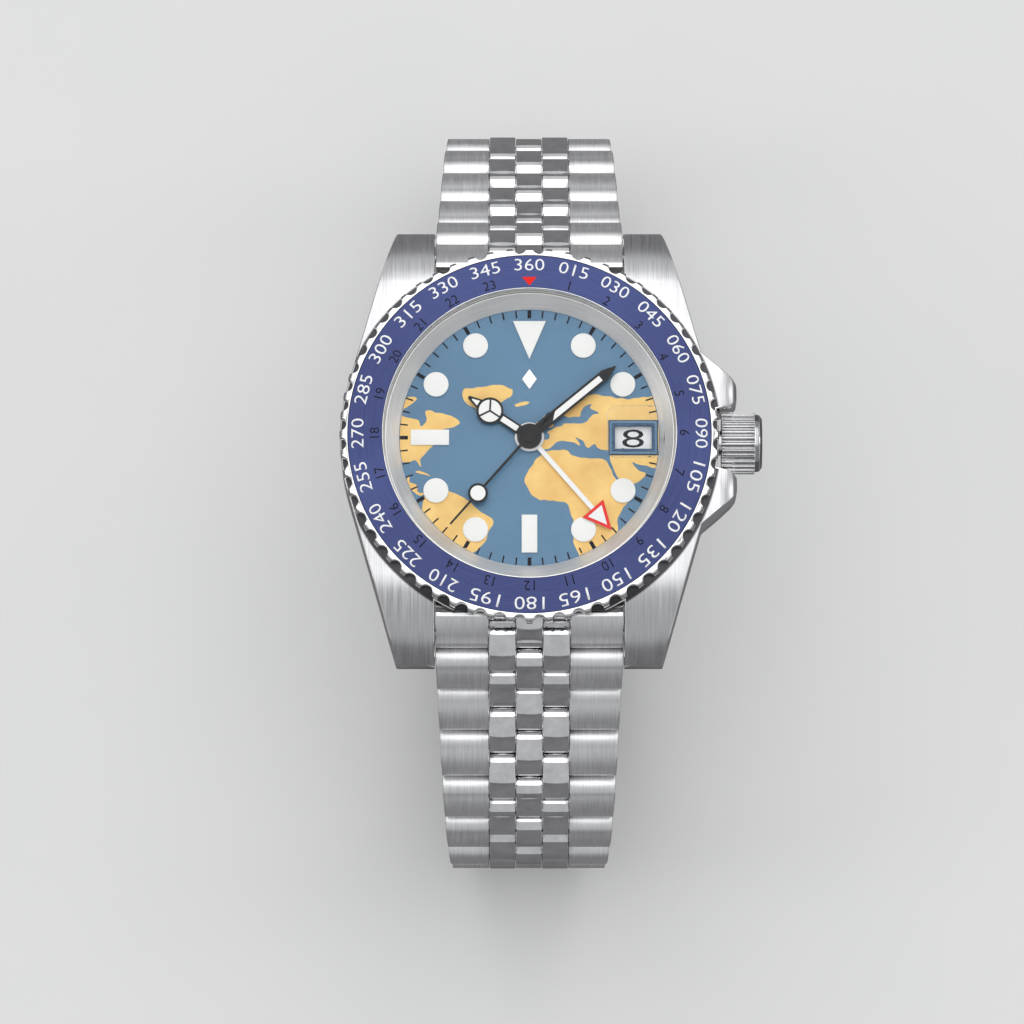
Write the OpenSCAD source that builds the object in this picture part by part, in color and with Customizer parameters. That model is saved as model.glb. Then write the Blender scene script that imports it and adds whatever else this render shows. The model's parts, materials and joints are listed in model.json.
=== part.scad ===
// Two-time-zone wrist watch on a five-column steel bracelet, standing on its closed clasp.
// +Z is the dial's normal, +Y is twelve o'clock, +X is three o'clock and the crown.
// The origin is on the floor, under the middle of the dial, at the clasp's flat face.

/* [Case] */
// Diameter of the case band and of the turning bezel
case_d = 40; // [38:0.5:42]
// Depth of the case band below the dial
case_depth = 8.25; // [8:0.05:9]
// Gap between a pair of lugs, where the bracelet fits
lug_gap = 20; // [18:0.5:21]
// Distance over the lug tips from twelve to six
lug_to_lug = 46.5; // [45:0.5:49]
// Width of a lug at its tip
lug_tip_w = 4.1; // [3:0.1:5]
// How far a lug tip reaches below the dial
lug_drop = 9.4; // [9:0.1:10.5]
// How far the crown guards stand out from the case band
guard_reach = 1.9; // [1:0.1:2.5]
// Wall between the case bore and the bezel seat
neck_wall = 1.2; // [0.8:0.1:1.4]

/* [Bezel] */
// Height of the bezel's outer edge above the dial
bezel_h = 2.35; // [2:0.05:3]
// Number of scallops round the bezel
scallops = 60; // [24:1:72]
// Radius of one scallop
scallop_r = 0.72; // [0.4:0.02:0.8]
// Number of click notches under the bezel
click_notches = 24; // [12:1:60]
// Width of the coloured insert
insert_w = 3.55; // [3:0.05:3.7]
// Thickness of the coloured insert
insert_t = 0.4; // [0.3:0.05:0.6]
// Rise of the insert from its outer to its inner edge
insert_rise = 0.8; // [0.4:0.05:1]
// Width of the bezel's metal beside the insert, both sides together
bezel_rim = 1.15; // [1.1:0.05:1.4]

/* [Crystal and dial] */
// Thickness of the crystal
crystal_t = 1.65; // [1.2:0.05:2]
// Width of the slanted ring between the crystal's edge and the dial
flange_w = 1.55; // [1.4:0.05:2.5]
// Thickness of the dial
dial_t = 0.4; // [0.3:0.05:0.5]
// Height of the hour markers
marker_h = 0.25; // [0.1:0.05:0.28]
// Length and width of the date window
window = [3.9, 2.45]; // [1:0.05:5]
// Distance from the window's frame to the dial's edge
window_edge = 0.3; // [0.1:0.05:1]
// Length and width of the magnifier on the crystal
magnifier = [6.1, 5.6]; // [4:0.1:6.5]
// Height of the magnifier above the crystal
magnifier_h = 0.7; // [0.4:0.05:1]

/* [Hands] */
// Distance of the hour hand's tip from the dial's edge
hour_gap = 6.05; // [4.5:0.05:6.5]
// Distance of the minute hand's tip from the dial's edge
minute_gap = 1.85; // [1:0.05:3]
// Distance of the second hand's tip from the dial's edge
second_gap = 1.15; // [0.4:0.05:3]
// Distance of the second-zone hand's tip from the dial's edge
zone_gap = 0.55; // [0.3:0.05:3]
// Angles of the hands, clockwise from twelve: hour, minute, second, second zone
hand_angles = [303.5, 50.5, 221.4, 139]; // [0:0.5:360]

/* [Crown] */
// Diameter of the crown
crown_d = 6.6; // [5:0.1:6.8]
// Length of the crown
crown_len = 4.3; // [3.5:0.1:5]
// Depth of the stem's axis below the dial
stem_depth = 3.3; // [3.2:0.05:3.5]
// How far the crown pulls out
crown_travel = 2; // [1:0.1:2]
// Number of grooves round the crown
crown_grooves = 30; // [20:1:40]

/* [Movement] */
// Diameter of the movement
movement_d = 27.4; // [27:0.1:28]
// Thickness of the main plate
plate_t = 1.6; // [1.2:0.05:1.7]
// Thickness of the bridges
bridge_t = 0.8; // [0.6:0.05:0.9]
// Radius of the barrel over its teeth
barrel_r = 4.9; // [4.5:0.05:5]
// Radius of the balance wheel
balance_r = 3.2; // [2.6:0.05:3.2]
// Radius of the winding rotor
rotor_r = 12.9; // [12:0.1:13.1]

/* [Bracelet] */
// Distance from one hinge pin of a row to the next row's
pitch = 6.6; // [6.6:0.01:6.8]
// Radius of the round link ends
link_r = 1.5; // [1.3:0.05:1.5]
// Rise of the links' outer face over their round ends
link_dome = 0.25; // [0.1:0.05:0.4]
// Width of the narrow columns
column_w = 2.8; // [2.4:0.05:3]
// Width of the bracelet at the lugs
band_w = 19.8; // [17.5:0.1:20.8]
// Width of the bracelet at the clasp
band_end_w = 16; // [14:0.1:17]
// Diameter of the link pins
pin_d = 1.2; // [0.8:0.05:1.4]
// Gap between the columns
column_gap = 0.06; // [0.04:0.01:0.15]

/* [Clasp] */
// Width of the clasp cover
clasp_w = 17; // [16:0.1:19]
// Thickness of the clasp cover's plate
cover_t = 1; // [0.7:0.05:1.1]
// Thickness of the folding blades
blade_t = 0.8; // [0.6:0.05:0.9]
// Width of the folding blades
blade_w = 9; // [7:0.1:11]
// Length of a folding blade between its hinges
blade_len = 26; // [22:0.1:28]
// Thickness of the safety latch
latch_t = 0.7; // [0.5:0.05:0.8]
// Height of the link pin at the clasp above the floor
clasp_pin_z = 3.2; // [3.1:0.05:3.6]

/* [Hidden] */
$fn = 96;

// Clearances
running = 0.05;
seat = 0.03;
hair = 0.05;
eps = 0.01;

// Places of the bracelet, as distances from the dial's middle
lug_bar = [case_d / 2 + 0.2, 4.5];
link_slopes = [64, 51, 50, 61.5, 74.5, 89, 118, 146, 172];
end_slope = 50;
half = pitch / 2;
function chain(n) = n == 0
    ? [lug_bar[0] + half * cos(end_slope), -lug_bar[1] - half * sin(end_slope)]
    : chain(n - 1) + pitch * [cos(link_slopes[n - 1]), -sin(link_slopes[n - 1])];
link_count = len(link_slopes);
clasp_pin_y = chain(link_count)[0];
dial_z = clasp_pin_z - chain(link_count)[1];
narrow = column_w / 2;
outer_from = narrow + column_gap * 2 + column_w;
function band_at(n) = band_w - (band_w - band_end_w) * pow(min(n, 7) / 7, 1.35);

// Places of the head, as heights over the dial
neck_top = 2;
bezel_r = case_d / 2;
crystal_r = bezel_r - insert_w - bezel_rim;
dial_r = crystal_r - flange_w;
frame_wall = 0.55;
window_x = dial_r - window_edge - frame_wall - window[0] / 2;
crystal_z = 1.65;
crystal_top = crystal_z + crystal_t;
gasket_w = 0.45;
neck_bore = crystal_r + gasket_w + running;
neck_r = neck_bore + neck_wall;
bezel_bore = crystal_r + 0.12;
bezel_z = 0.2;
insert_in = bezel_bore + 0.13;
insert_out = insert_in + insert_w;
insert_top = bezel_h + insert_rise;
dial_seat = dial_r + 0.5;
case_bore = max(movement_d / 2 + 0.9, dial_seat + 0.35);
back_thread_r = case_bore + 1.2;
back_flange_r = back_thread_r + 1.4;
back_flange_t = 0.75;
back_window_r = 11;
back_glass_r = back_window_r + 0.8;

// Levels and thicknesses of the movement, drawn for the full depth and shared out over the case's own
full_depth = 8.25;
function lv(z) = z * case_depth / full_depth;
date_z = -dial_t - 0.1;
date_t = 0.3;
plate_top = lv(-1);
plate_z = plate_top - lv(plate_t);
bridge_top = lv(-4.6);
bridge_z = bridge_top - lv(bridge_t);
center_z = lv(-3);
wheel_t = lv(0.18);
pinion_t = lv(0.4);
third_z = lv(-3.8);
seconds_z = lv(-4.3);
escape_z = lv(-3.4);
balance_z = lv(-4.25);
rotor_z = lv(-6.9);
rotor_t = lv(1.15);
back_plug = lv(0.85);
stem_z = lv(-stem_depth);

// The date disc, seen through the window
disc_cover = 0.4;
disc_out = window_x + window[0] / 2 + disc_cover;
disc_in = window_x - window[0] / 2 - disc_cover;

// Plan of the movement
pinion_r = 0.75;
center_r = 4.1;
third_r = 4.1;
seconds_r = 3.9;
escape_r = 2.3;
escape_pinion_r = 0.6;
function polar(r, a) = [r * cos(a), r * sin(a)];
third_at = polar(center_r + pinion_r + hair, 120);
barrel_at = polar(barrel_r + pinion_r + hair, -60);
escape_at = polar(seconds_r + escape_pinion_r + hair, 190);
lever_angle = 215;
pallet_at = escape_at + polar(2.9, lever_angle);
balance_at = escape_at + polar(5.97, lever_angle);
cock_foot = [-11.6, 1];
bridge_feet = [[9.5, 6.5], [9.3, -8.5], [-9.5, 8]];

// Nested tubes of the hands: each tube's outer radius
zone_tube = 1.2;
hour_tube = 0.95;
minute_tube = 0.7;
second_arbor = 0.35;
hour_len = dial_r - hour_gap;
minute_len = dial_r - minute_gap;
second_len = dial_r - second_gap;
zone_len = dial_r - zone_gap;
hub_r = 1.55;
zone_z = 0.35;
hour_z = 0.6;
minute_z = 0.86;
second_z = 1.14;
hand_t = 0.15;

module at_dial() translate([0, 0, dial_z]) children();
module along_x() rotate([90, 0, 90]) children();
module ring(r_out, r_in, z, h) {
    translate([0, 0, z]) difference() {
        cylinder(r = r_out, h = h);
        translate([0, 0, -eps]) cylinder(r = r_in, h = h + 2 * eps);
    }
}
module round_box(size, r, h) {
    for (s = [0, 1])
        translate([-size[0] / 2 + s * r, -size[1] / 2 + (1 - s) * r, 0])
            cube([size[0] - 2 * s * r, size[1] - 2 * (1 - s) * r, h]);
    for (x = [-1, 1], y = [-1, 1])
        translate([x * (size[0] / 2 - r), y * (size[1] / 2 - r), 0]) cylinder(r = r, h = h, $fn = 32);
}
module toothed(r, teeth, depth, h) {
    step = 360 / teeth;
    linear_extrude(h) polygon([
        for (i = [0 : teeth - 1], p = [[0, 0], [0.2, 1], [0.5, 1], [0.7, 0]])
            polar(r - depth + p[1] * depth, (i + p[0]) * step)
    ]);
}
module spoked(r, teeth, z, spokes, arm) {
    translate([0, 0, z]) {
        difference() {
            toothed(r, teeth, 0.22, wheel_t);
            translate([0, 0, -eps]) cylinder(r = r - 0.75, h = 1);
        }
        for (i = [0 : spokes - 1]) rotate(i * 360 / spokes)
            translate([0, -arm / 2, 0]) cube([r - 0.5, arm, wheel_t]);
    }
}

// Case band with its lugs and crown guards
lug_round = 9.9;
lug_start = lug_to_lug / 2 - 9.25;
lug_in = lug_gap / 2;
lug_out = lug_in + lug_tip_w;
end_link_y = case_d / 2 - 1.6;
module case_side() {
    translate([-lug_start, -case_depth]) square([2 * lug_start, case_depth]);
    for (s = [0, 1]) mirror([s, 0]) intersection() {
        translate([lug_start, -lug_round]) circle(r = lug_round);
        polygon([
            [lug_start - 1, 1], [lug_to_lug / 2, 1], [lug_to_lug / 2, -lug_drop],
            [lug_to_lug / 2 - 3, -lug_drop], [lug_start + 2.5, -case_depth], [lug_start - 1, -case_depth]
        ]);
    }
}
module case_plan() {
    tangent = 16.1;
    circle(r = case_d / 2);
    for (x = [0, 1], y = [0, 1]) mirror([x, 0]) mirror([0, y]) polygon([
        polar(case_d / 2, tangent), [lug_out, lug_to_lug / 2], [lug_in, lug_to_lug / 2], [lug_in, 5], [12, 3]
    ]);
}
module guards() {
    reach = case_d / 2 + guard_reach;
    intersection() {
        translate([0, 0, -case_depth + 1]) linear_extrude(case_depth - 1) for (s = [0, 1]) mirror([0, s])
            polygon([
                [15, 2], [reach - 0.6, crown_d / 2 + 0.2], [reach, crown_d / 2 + 0.8], [reach, 5.5],
                [reach - 0.15, 6], [reach - 0.6, 6.55], [case_d / 2 + 0.1, 7.55],
                [case_d / 2 - 1.85, 9.2], [15, 11]
            ]);
        rotate([90, 0, 0]) translate([0, 0, -15]) linear_extrude(30) polygon([
            [10, 0], [reach - 1.05, 0], [reach - 0.6, -0.15], [reach - 0.25, -0.5], [reach - 0.05, -1],
            [reach, -1.6], [reach, -6], [case_d / 2, -case_depth + 1], [10, -case_depth + 1]
        ]);
    }
}
module mid_case() {
    color("silver") at_dial() difference() {
        union() {
            intersection() {
                translate([0, 0, -lug_drop - 1]) linear_extrude(lug_drop + 2) case_plan();
                translate([-30, 0, 0]) along_x() linear_extrude(60) case_side();
            }
            cylinder(r = neck_r, h = neck_top);
            guards();
        }
        cylinder(r = neck_bore, h = neck_top + 1);
        translate([0, 0, -1]) cylinder(r = dial_seat + seat, h = 2);
        translate([0, 0, -case_depth - 1]) cylinder(r = case_bore, h = case_depth + 1 - dial_t);
        translate([0, 0, -case_depth - 1]) cylinder(r = back_thread_r, h = 1 + back_plug);
        translate([0, 0, -case_depth - 3]) cylinder(r = back_flange_r + 2 * running, h = 3);
        for (s = [-1, 1]) {
            translate([-lug_in, s > 0 ? end_link_y : -end_link_y - 10, -15]) cube([lug_gap, 10, 15 - 0.5]);
            translate([-lug_in - 1.3, s * lug_bar[0], -lug_bar[1]]) along_x()
                cylinder(r = 0.5 + running, h = lug_gap + 2.6);
        }
        translate([case_bore - 3, 0, stem_z]) along_x() cylinder(r = tube_r + seat, h = 12);
        translate([crown_x - 0.1, 0, stem_z]) along_x() cylinder(r = crown_d / 2 + 0.25, h = 12);
    }
}
bar_r = 0.75;
module lug_spring_bars() {
    color("gainsboro") at_dial() for (s = [-1, 1]) translate([0, s * lug_bar[0], -lug_bar[1]]) along_x() {
        translate([0, 0, -lug_in + 0.15]) cylinder(r = bar_r, h = lug_gap - 0.3, $fn = 32);
        translate([0, 0, -lug_in - 1.1]) cylinder(r = 0.5, h = lug_gap + 2.2, $fn = 32);
    }
}

// Turning bezel, its insert and its click spring
module bezel_ring() {
    color("silver") at_dial() difference() {
        rotate_extrude() polygon([
            [neck_r + running, bezel_z], [bezel_r - 0.35, bezel_z], [bezel_r, bezel_z + 0.4],
            [bezel_r, bezel_h - 0.35], [bezel_r - 0.3, bezel_h], [insert_out + 0.05, bezel_h + 0.02],
            [insert_out + 0.02, bezel_h - insert_t - 0.02], [insert_in - 0.02, insert_top - insert_t - 0.02],
            [insert_in - 0.02, insert_top + 0.03], [bezel_bore, insert_top + 0.03],
            [bezel_bore, neck_top + 0.1], [neck_r + running, neck_top + 0.1]
        ]);
        for (i = [0 : scallops - 1]) rotate((i + 0.5) * 360 / scallops) translate([bezel_r + 0.05, 0, 0])
            cylinder(r = scallop_r, h = 3 * bezel_h, $fn = 32);
        for (i = [0 : click_notches - 1]) rotate(i * 360 / click_notches)
            translate([neck_r + 0.6, -0.25, 0]) cube([1, 0.5, bezel_z + 0.3]);
    }
}
module bezel_insert() {
    color([0.12, 0.13, 0.38]) at_dial() rotate_extrude() polygon([
        [insert_out, bezel_h - insert_t], [insert_out, bezel_h - 0.02],
        [insert_in, insert_top - 0.02], [insert_in, insert_top - insert_t]
    ]);
}
module bezel_click_spring() {
    color("lightsteelblue") at_dial() {
        difference() {
            ring(neck_r + 1.5, neck_r + 0.4, seat, 0.08);
            for (i = [0 : 2]) rotate(i * 120) translate([neck_r + 0.75, -4, -1]) cube([0.1, 8, 2]);
        }
        for (i = [0 : 2]) rotate(i * 120 + 10) translate([neck_r + 0.9, -0.2, 0.05]) cube([0.4, 0.4, 0.11]);
    }
}

// Crystal, date magnifier, gaskets and the ring between crystal and dial
module crystal() {
    color([0.85, 0.93, 0.98, 0.3]) at_dial() rotate_extrude() polygon([
        [0, crystal_z], [crystal_r - 0.1, crystal_z], [crystal_r, crystal_z + 0.1],
        [crystal_r, crystal_top - 0.25], [crystal_r - 0.3, crystal_top], [0, crystal_top]
    ]);
}
module date_magnifier() {
    lens_r = 14;
    color([0.85, 0.93, 0.98, 0.4]) at_dial() translate([window_x + 0.25, 0, crystal_top]) intersection() {
        round_box(magnifier, 1, 2);
        translate([0, 0, magnifier_h - lens_r]) sphere(r = lens_r, $fn = 128);
    }
}
back_groove = [back_thread_r + 0.3, back_thread_r + 0.9];
module gaskets() {
    color("white") at_dial() {
        ring(neck_bore - seat, crystal_r + 0.01, 1.25, 0.7);
        ring(back_groove[1] - seat, back_groove[0] + seat, -case_depth - 0.4, 0.37);
        translate([crown_x + 0.45, 0, stem_z]) along_x() ring(tube_r + 0.42, tube_r + seat, 0, 0.5);
    }
}
module rehaut_ring() {
    color("lightgray") at_dial() rotate_extrude() polygon([
        [dial_r, seat], [neck_bore - seat, seat], [neck_bore - seat, 1.2], [crystal_r - 0.05, 1.2],
        [crystal_r - 0.05, crystal_z - 0.03], [crystal_r - 0.15, crystal_z - 0.03], [dial_r, 0.15]
    ]);
}

// Case back with its window
module case_back() {
    top = -case_depth + back_plug - seat;
    color("silver") at_dial() difference() {
        union() {
            translate([0, 0, -case_depth - back_flange_t])
                cylinder(r = back_flange_r, h = back_flange_t - 0.02);
            translate([0, 0, -case_depth - 0.1])
                cylinder(r = back_thread_r - running, h = top + case_depth + 0.1);
        }
        translate([0, 0, -case_depth - 2]) cylinder(r = back_window_r, h = 4);
        translate([0, 0, -case_depth - 0.25]) cylinder(r = back_glass_r + seat, h = 4);
        ring(back_groove[1], back_groove[0], -case_depth - 0.43, 1);
        for (i = [0 : 5]) rotate(i * 60) translate([back_flange_r, 0, -case_depth - 1.2])
            cylinder(r = 1, h = 0.9, $fn = 32);
    }
}
module back_crystal() {
    color([0.85, 0.93, 0.98, 0.3]) at_dial()
        translate([0, 0, -case_depth - 0.25 + 0.02]) cylinder(r = back_glass_r, h = 0.9);
}
holder_z = lv(-6);
stem_slot = 3.2;
module movement_holder() {
    color("ivory") at_dial() difference() {
        ring(case_bore - seat, movement_d / 2 + seat, holder_z, -holder_z - dial_t - seat);
        translate([5, -stem_slot / 2, stem_z - stem_slot / 2]) cube([case_bore, stem_slot, stem_slot]);
        translate([0, 0, date_z - date_t - 0.1]) cylinder(r = disc_out + 0.1, h = 5);
    }
}

// Crown, its tube, the stem and the pinion that turns with the stem
tube_r = 1.3;
crown_x = case_d / 2 + 0.3;
stem_r = 0.45;
stem_in = 6.9;
module crown_tube() {
    color("silver") at_dial() translate([case_bore + 0.3, 0, stem_z]) along_x()
        ring(tube_r, stem_r + 0.3, 0, crown_x + crown_travel - 0.4 - case_bore - 0.3);
}
module crown() {
    cap = 0.8;
    groove_r = 0.36 * PI * crown_d / crown_grooves;
    color("silver") at_dial() translate([crown_x, 0, stem_z]) along_x() difference() {
        union() {
            linear_extrude(crown_len - cap) difference() {
                circle(r = crown_d / 2);
                for (i = [0 : crown_grooves - 1]) rotate(i * 360 / crown_grooves)
                    translate([crown_d / 2 + 0.02, 0]) circle(r = groove_r, $fn = 24);
            }
            translate([0, 0, crown_len - cap - eps]) rotate_extrude() polygon([
                [0, 0], [crown_d / 2 - 0.3, 0], [crown_d / 2 - 0.25, 0.15], [crown_d / 2 - 0.3, cap - 0.3],
                [crown_d / 2 - 0.7, cap], [0, cap]
            ]);
        }
        translate([0, 0, -1]) cylinder(r = tube_r + 0.45, h = crown_travel + 1.1);
        cylinder(r = stem_r + seat, h = crown_travel + 0.9);
    }
}
module winding_stem() {
    color("gray") at_dial() translate([stem_in, 0, stem_z]) along_x()
        cylinder(r = stem_r, h = crown_x + crown_travel + 0.85 - stem_in);
}
pinion_x = 7.5;
module winding_pinion() {
    color("goldenrod") at_dial() translate([pinion_x, 0, stem_z]) along_x() difference() {
        toothed(1, 12, 0.2, 1.2);
        translate([0, 0, -eps]) cylinder(r = stem_r + running, h = 2);
    }
}

// Dial with its date frame, markers and date disc
module dial() {
    color([0.33, 0.5, 0.64]) at_dial() difference() {
        union() {
            translate([0, 0, -dial_t]) cylinder(r = dial_seat, h = dial_t);
            translate([window_x, 0, -0.01]) linear_extrude(0.22)
                square([window[0] + 2 * frame_wall, window[1] + 2 * frame_wall], center = true);
        }
        translate([window_x - window[0] / 2, -window[1] / 2, -1]) cube([window[0], window[1], 2]);
        translate([0, 0, -1]) cylinder(r = zone_tube + 0.1, h = 2);
    }
}
dot_r = 1.32;
dot_at = dial_r - 1.05 - dot_r;
bar = [1.65, 4.05];
triangle = [3.5, 4.1];
triangle_y = dial_r - 1.25;
emblem = [0.8, 1.1];
emblem_y = triangle_y - triangle[1] - 2.15;
module marker_bar(a, edge) {
    rotate(90 - a) translate([dial_r - edge - bar[1], -bar[0] / 2, 0]) cube([bar[1], bar[0], marker_h]);
}
module hour_markers() {
    color("white") at_dial() translate([0, 0, 0.01]) {
        for (a = [30, 60, 120, 150, 210, 240, 300, 330])
            translate(polar(dot_at, 90 - a)) cylinder(r = dot_r, h = marker_h);
        marker_bar(180, 1.425);
        marker_bar(270, 1.225);
        linear_extrude(marker_h) polygon([
            [-triangle[0] / 2, triangle_y], [triangle[0] / 2, triangle_y], [0, triangle_y - triangle[1]]
        ]);
        translate([0, emblem_y]) linear_extrude(marker_h) polygon([
            [0, emblem[1]], [emblem[0], 0], [0, -emblem[1]], [-emblem[0], 0]
        ]);
    }
}
module date_disc() {
    color("white") at_dial() translate([0, 0, date_z - date_t]) difference() {
        cylinder(r = disc_out, h = date_t);
        translate([0, 0, -1]) cylinder(r = disc_in, h = 2);
        for (i = [0 : 30]) rotate((i + 0.5) * 360 / 31) translate([disc_in - 0.1, 0, -1])
            cylinder(r = 0.35, h = 2, $fn = 24);
    }
}

// Hands, each on its own tube
module hand(z, tube_out, tube_in, tube_end, hub, turn) {
    at_dial() rotate(-turn) difference() {
        union() {
            translate([0, 0, z]) {
                cylinder(r = hub, h = hand_t);
                children();
            }
            translate([0, 0, tube_end]) cylinder(r = tube_out, h = z - tube_end + eps);
        }
        if (tube_in > 0) translate([0, 0, tube_end - 1]) cylinder(r = tube_in, h = z - tube_end + 2);
    }
}
module blade_hand(from, to, w0, w1) {
    linear_extrude(hand_t) polygon([[-w0 / 2, from], [w0 / 2, from], [w1 / 2, to], [-w1 / 2, to]]);
}
module zone_hand() {
    tri = [2.95, 3.05];
    color("white") hand(zone_z, zone_tube, hour_tube + running, lv(-0.95), hub_r, hand_angles[3]) {
        blade_hand(0.9, zone_len - tri[1] + 0.1, 0.5, 0.5);
        linear_extrude(hand_t) polygon([
            [-tri[0] / 2, zone_len - tri[1]], [tri[0] / 2, zone_len - tri[1]], [0, zone_len]
        ]);
    }
}
hour_disc_r = 1.42;
hour_disc_y = 5;
module hour_hand() {
    color("black") hand(hour_z, hour_tube, minute_tube + running, lv(-0.95), 1.3, hand_angles[0]) {
        blade_hand(0.6, hour_disc_y - hour_disc_r + 0.1, 1, 1);
        translate([0, hour_disc_y, 0]) {
            ring(hour_disc_r, hour_disc_r - 0.2, 0, hand_t);
            for (a = [30, 150, 270]) rotate(a) translate([0, -0.09, 0])
                cube([hour_disc_r - 0.1, 0.18, hand_t]);
            cylinder(r = hour_disc_r - 0.1, h = hand_t - 0.05);
        }
        linear_extrude(hand_t) polygon([
            [-0.55, hour_disc_y + hour_disc_r - 0.15], [0.55, hour_disc_y + hour_disc_r - 0.15],
            [0.15, hour_len], [-0.15, hour_len]
        ]);
    }
}
module minute_hand() {
    color("black") hand(minute_z, minute_tube, second_arbor + running, lv(-2.7), 1.25, hand_angles[1]) {
        blade_hand(0.6, minute_len - 1.5, 1.15, 1.15);
        linear_extrude(hand_t) polygon([
            [-0.575, minute_len - 1.5], [0.575, minute_len - 1.5], [0, minute_len]
        ]);
    }
}
second_dot = [8.2, 1.05];
module second_hand() {
    color("black") hand(second_z, second_arbor, 0, lv(-3.45), 1.3, hand_angles[2]) {
        blade_hand(-3.2, second_len, 0.34, 0.2);
        translate([0, second_dot[0], 0]) cylinder(r = second_dot[1], h = hand_t);
        cylinder(r = 0.75, h = hand_t + 0.12);
    }
}

// Movement: plate, bridge and cock
module main_plate() {
    color("lightgray") at_dial() difference() {
        union() {
            translate([0, 0, plate_z]) cylinder(r = movement_d / 2 - seat, h = plate_top - plate_z);
            translate([10.5, -1.4, bridge_top + seat]) cube([2.6, 2.8, plate_z - bridge_top]);
            translate([0, 0, plate_top - eps]) ring(disc_in - 0.2, 1.6, 0, date_z - 0.05 - plate_top);
        }
        translate([0, 0, plate_z - 1]) cylinder(r = zone_tube + 0.1, h = -plate_z + 1);
        translate([pinion_x - 0.4, -1.3, stem_z - 1.7]) cube([2, 2.6, 3.3]);
        translate([stem_in - 1, 0, stem_z]) along_x() cylinder(r = stem_r + running, h = 12);
    }
}
module bridge_screw(at) {
    translate([at[0], at[1], bridge_z]) difference() {
        translate([0, 0, -0.25]) cylinder(r = 0.7, h = 0.24, $fn = 32);
        translate([-1, -0.1, -0.35]) cube([2, 0.2, 0.2]);
    }
}
module train_bridge() {
    bridge_r = movement_d / 2 - 0.3;
    color("lightgray") at_dial() {
        difference() {
            union() {
                translate([0, 0, bridge_z]) cylinder(r = bridge_r, h = bridge_top - bridge_z);
                for (p = bridge_feet) translate([p[0], p[1], bridge_z])
                    cylinder(r = 0.9, h = plate_z - bridge_z - seat);
            }
            translate([balance_at[0], balance_at[1], bridge_z - 1]) cylinder(r = balance_r + 1.2, h = 4);
            translate([cock_foot[0], cock_foot[1], bridge_z - 1]) cylinder(r = 2.2, h = 4);
            translate([-20, balance_at[1] - 2, bridge_z - 1]) cube([20 + balance_at[0], 8, 4]);
            translate([0, 0, bridge_z - 1]) cylinder(r = 0.3, h = 4, $fn = 32);
        }
        for (p = bridge_feet) bridge_screw(p);
    }
}
module arbor(at, z0, z1, r) {
    translate([at[0], at[1], z0]) cylinder(r = r, h = z1 - z0, $fn = 32);
}
pivot_gap = 0.04;
module pinion(at, z, h, r, leaves) {
    translate([at[0], at[1], z]) toothed(r, leaves, 0.15, h);
}
module mainspring_barrel() {
    color("goldenrod") at_dial() {
        translate([barrel_at[0], barrel_at[1], lv(-3.35)]) toothed(barrel_r, 72, 0.22, wheel_t);
        translate([barrel_at[0], barrel_at[1], lv(-3.95)]) cylinder(r = barrel_r - 0.35, h = lv(0.65));
        arbor(barrel_at, bridge_top + pivot_gap, plate_z - pivot_gap, 0.9);
    }
}
module center_wheel() {
    color("goldenrod") at_dial() difference() {
        union() {
            spoked(center_r, 80, center_z, 5, 0.6);
            translate([0, 0, lv(-3.42)]) toothed(pinion_r, 12, 0.15, lv(0.66));
            translate([0, 0, center_z]) cylinder(r = 1.1, h = wheel_t);
        }
        translate([0, 0, -5]) cylinder(r = second_arbor + running, h = 4);
    }
}
module third_wheel() {
    color("goldenrod") at_dial() {
        translate([third_at[0], third_at[1], 0]) spoked(third_r, 75, third_z, 5, 0.6);
        pinion(third_at, lv(-3.15), pinion_t, pinion_r, 10);
        arbor(third_at, bridge_top + pivot_gap, plate_z - pivot_gap, 0.3);
    }
}
module seconds_wheel() {
    color("goldenrod") at_dial() {
        spoked(seconds_r, 70, seconds_z, 4, 0.5);
        pinion([0, 0], lv(-3.9), pinion_t, pinion_r, 10);
        arbor([0, 0], bridge_top + pivot_gap, lv(-3.45) - 0.01, 0.3);
    }
}
module escape_wheel() {
    color("goldenrod") at_dial() {
        translate([escape_at[0], escape_at[1], escape_z]) difference() {
            linear_extrude(wheel_t) polygon([
                for (i = [0 : 14], p = [[0, -0.5], [0.12, 0], [0.18, 0], [0.5, -0.6]])
                    polar(escape_r + p[1], (i + p[0]) * 24)
            ]);
            for (i = [0 : 4]) rotate(i * 72) translate([1, 0, -1]) cylinder(r = 0.42, h = 3, $fn = 32);
        }
        pinion(escape_at, lv(-4.35), lv(0.35), escape_pinion_r, 8);
        arbor(escape_at, bridge_top + pivot_gap, plate_z - pivot_gap, 0.25);
    }
}
module pallet_fork() {
    color("silver") at_dial() {
        translate([pallet_at[0], pallet_at[1], escape_z]) rotate(lever_angle) {
            translate([0, -0.15, 0]) cube([1.5, 0.3, wheel_t]);
            for (s = [-1, 1]) {
                translate([1.2, s * 0.25 - 0.1, 0]) cube([0.6, 0.2, wheel_t]);
                rotate(s * 110) translate([0, -0.15, 0]) cube([1.75, 0.3, wheel_t]);
            }
            translate([1.1, -0.35, 0]) cube([0.2, 0.7, wheel_t]);
        }
        arbor(pallet_at, lv(-3.75), plate_z - pivot_gap, 0.25);
    }
}
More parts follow.
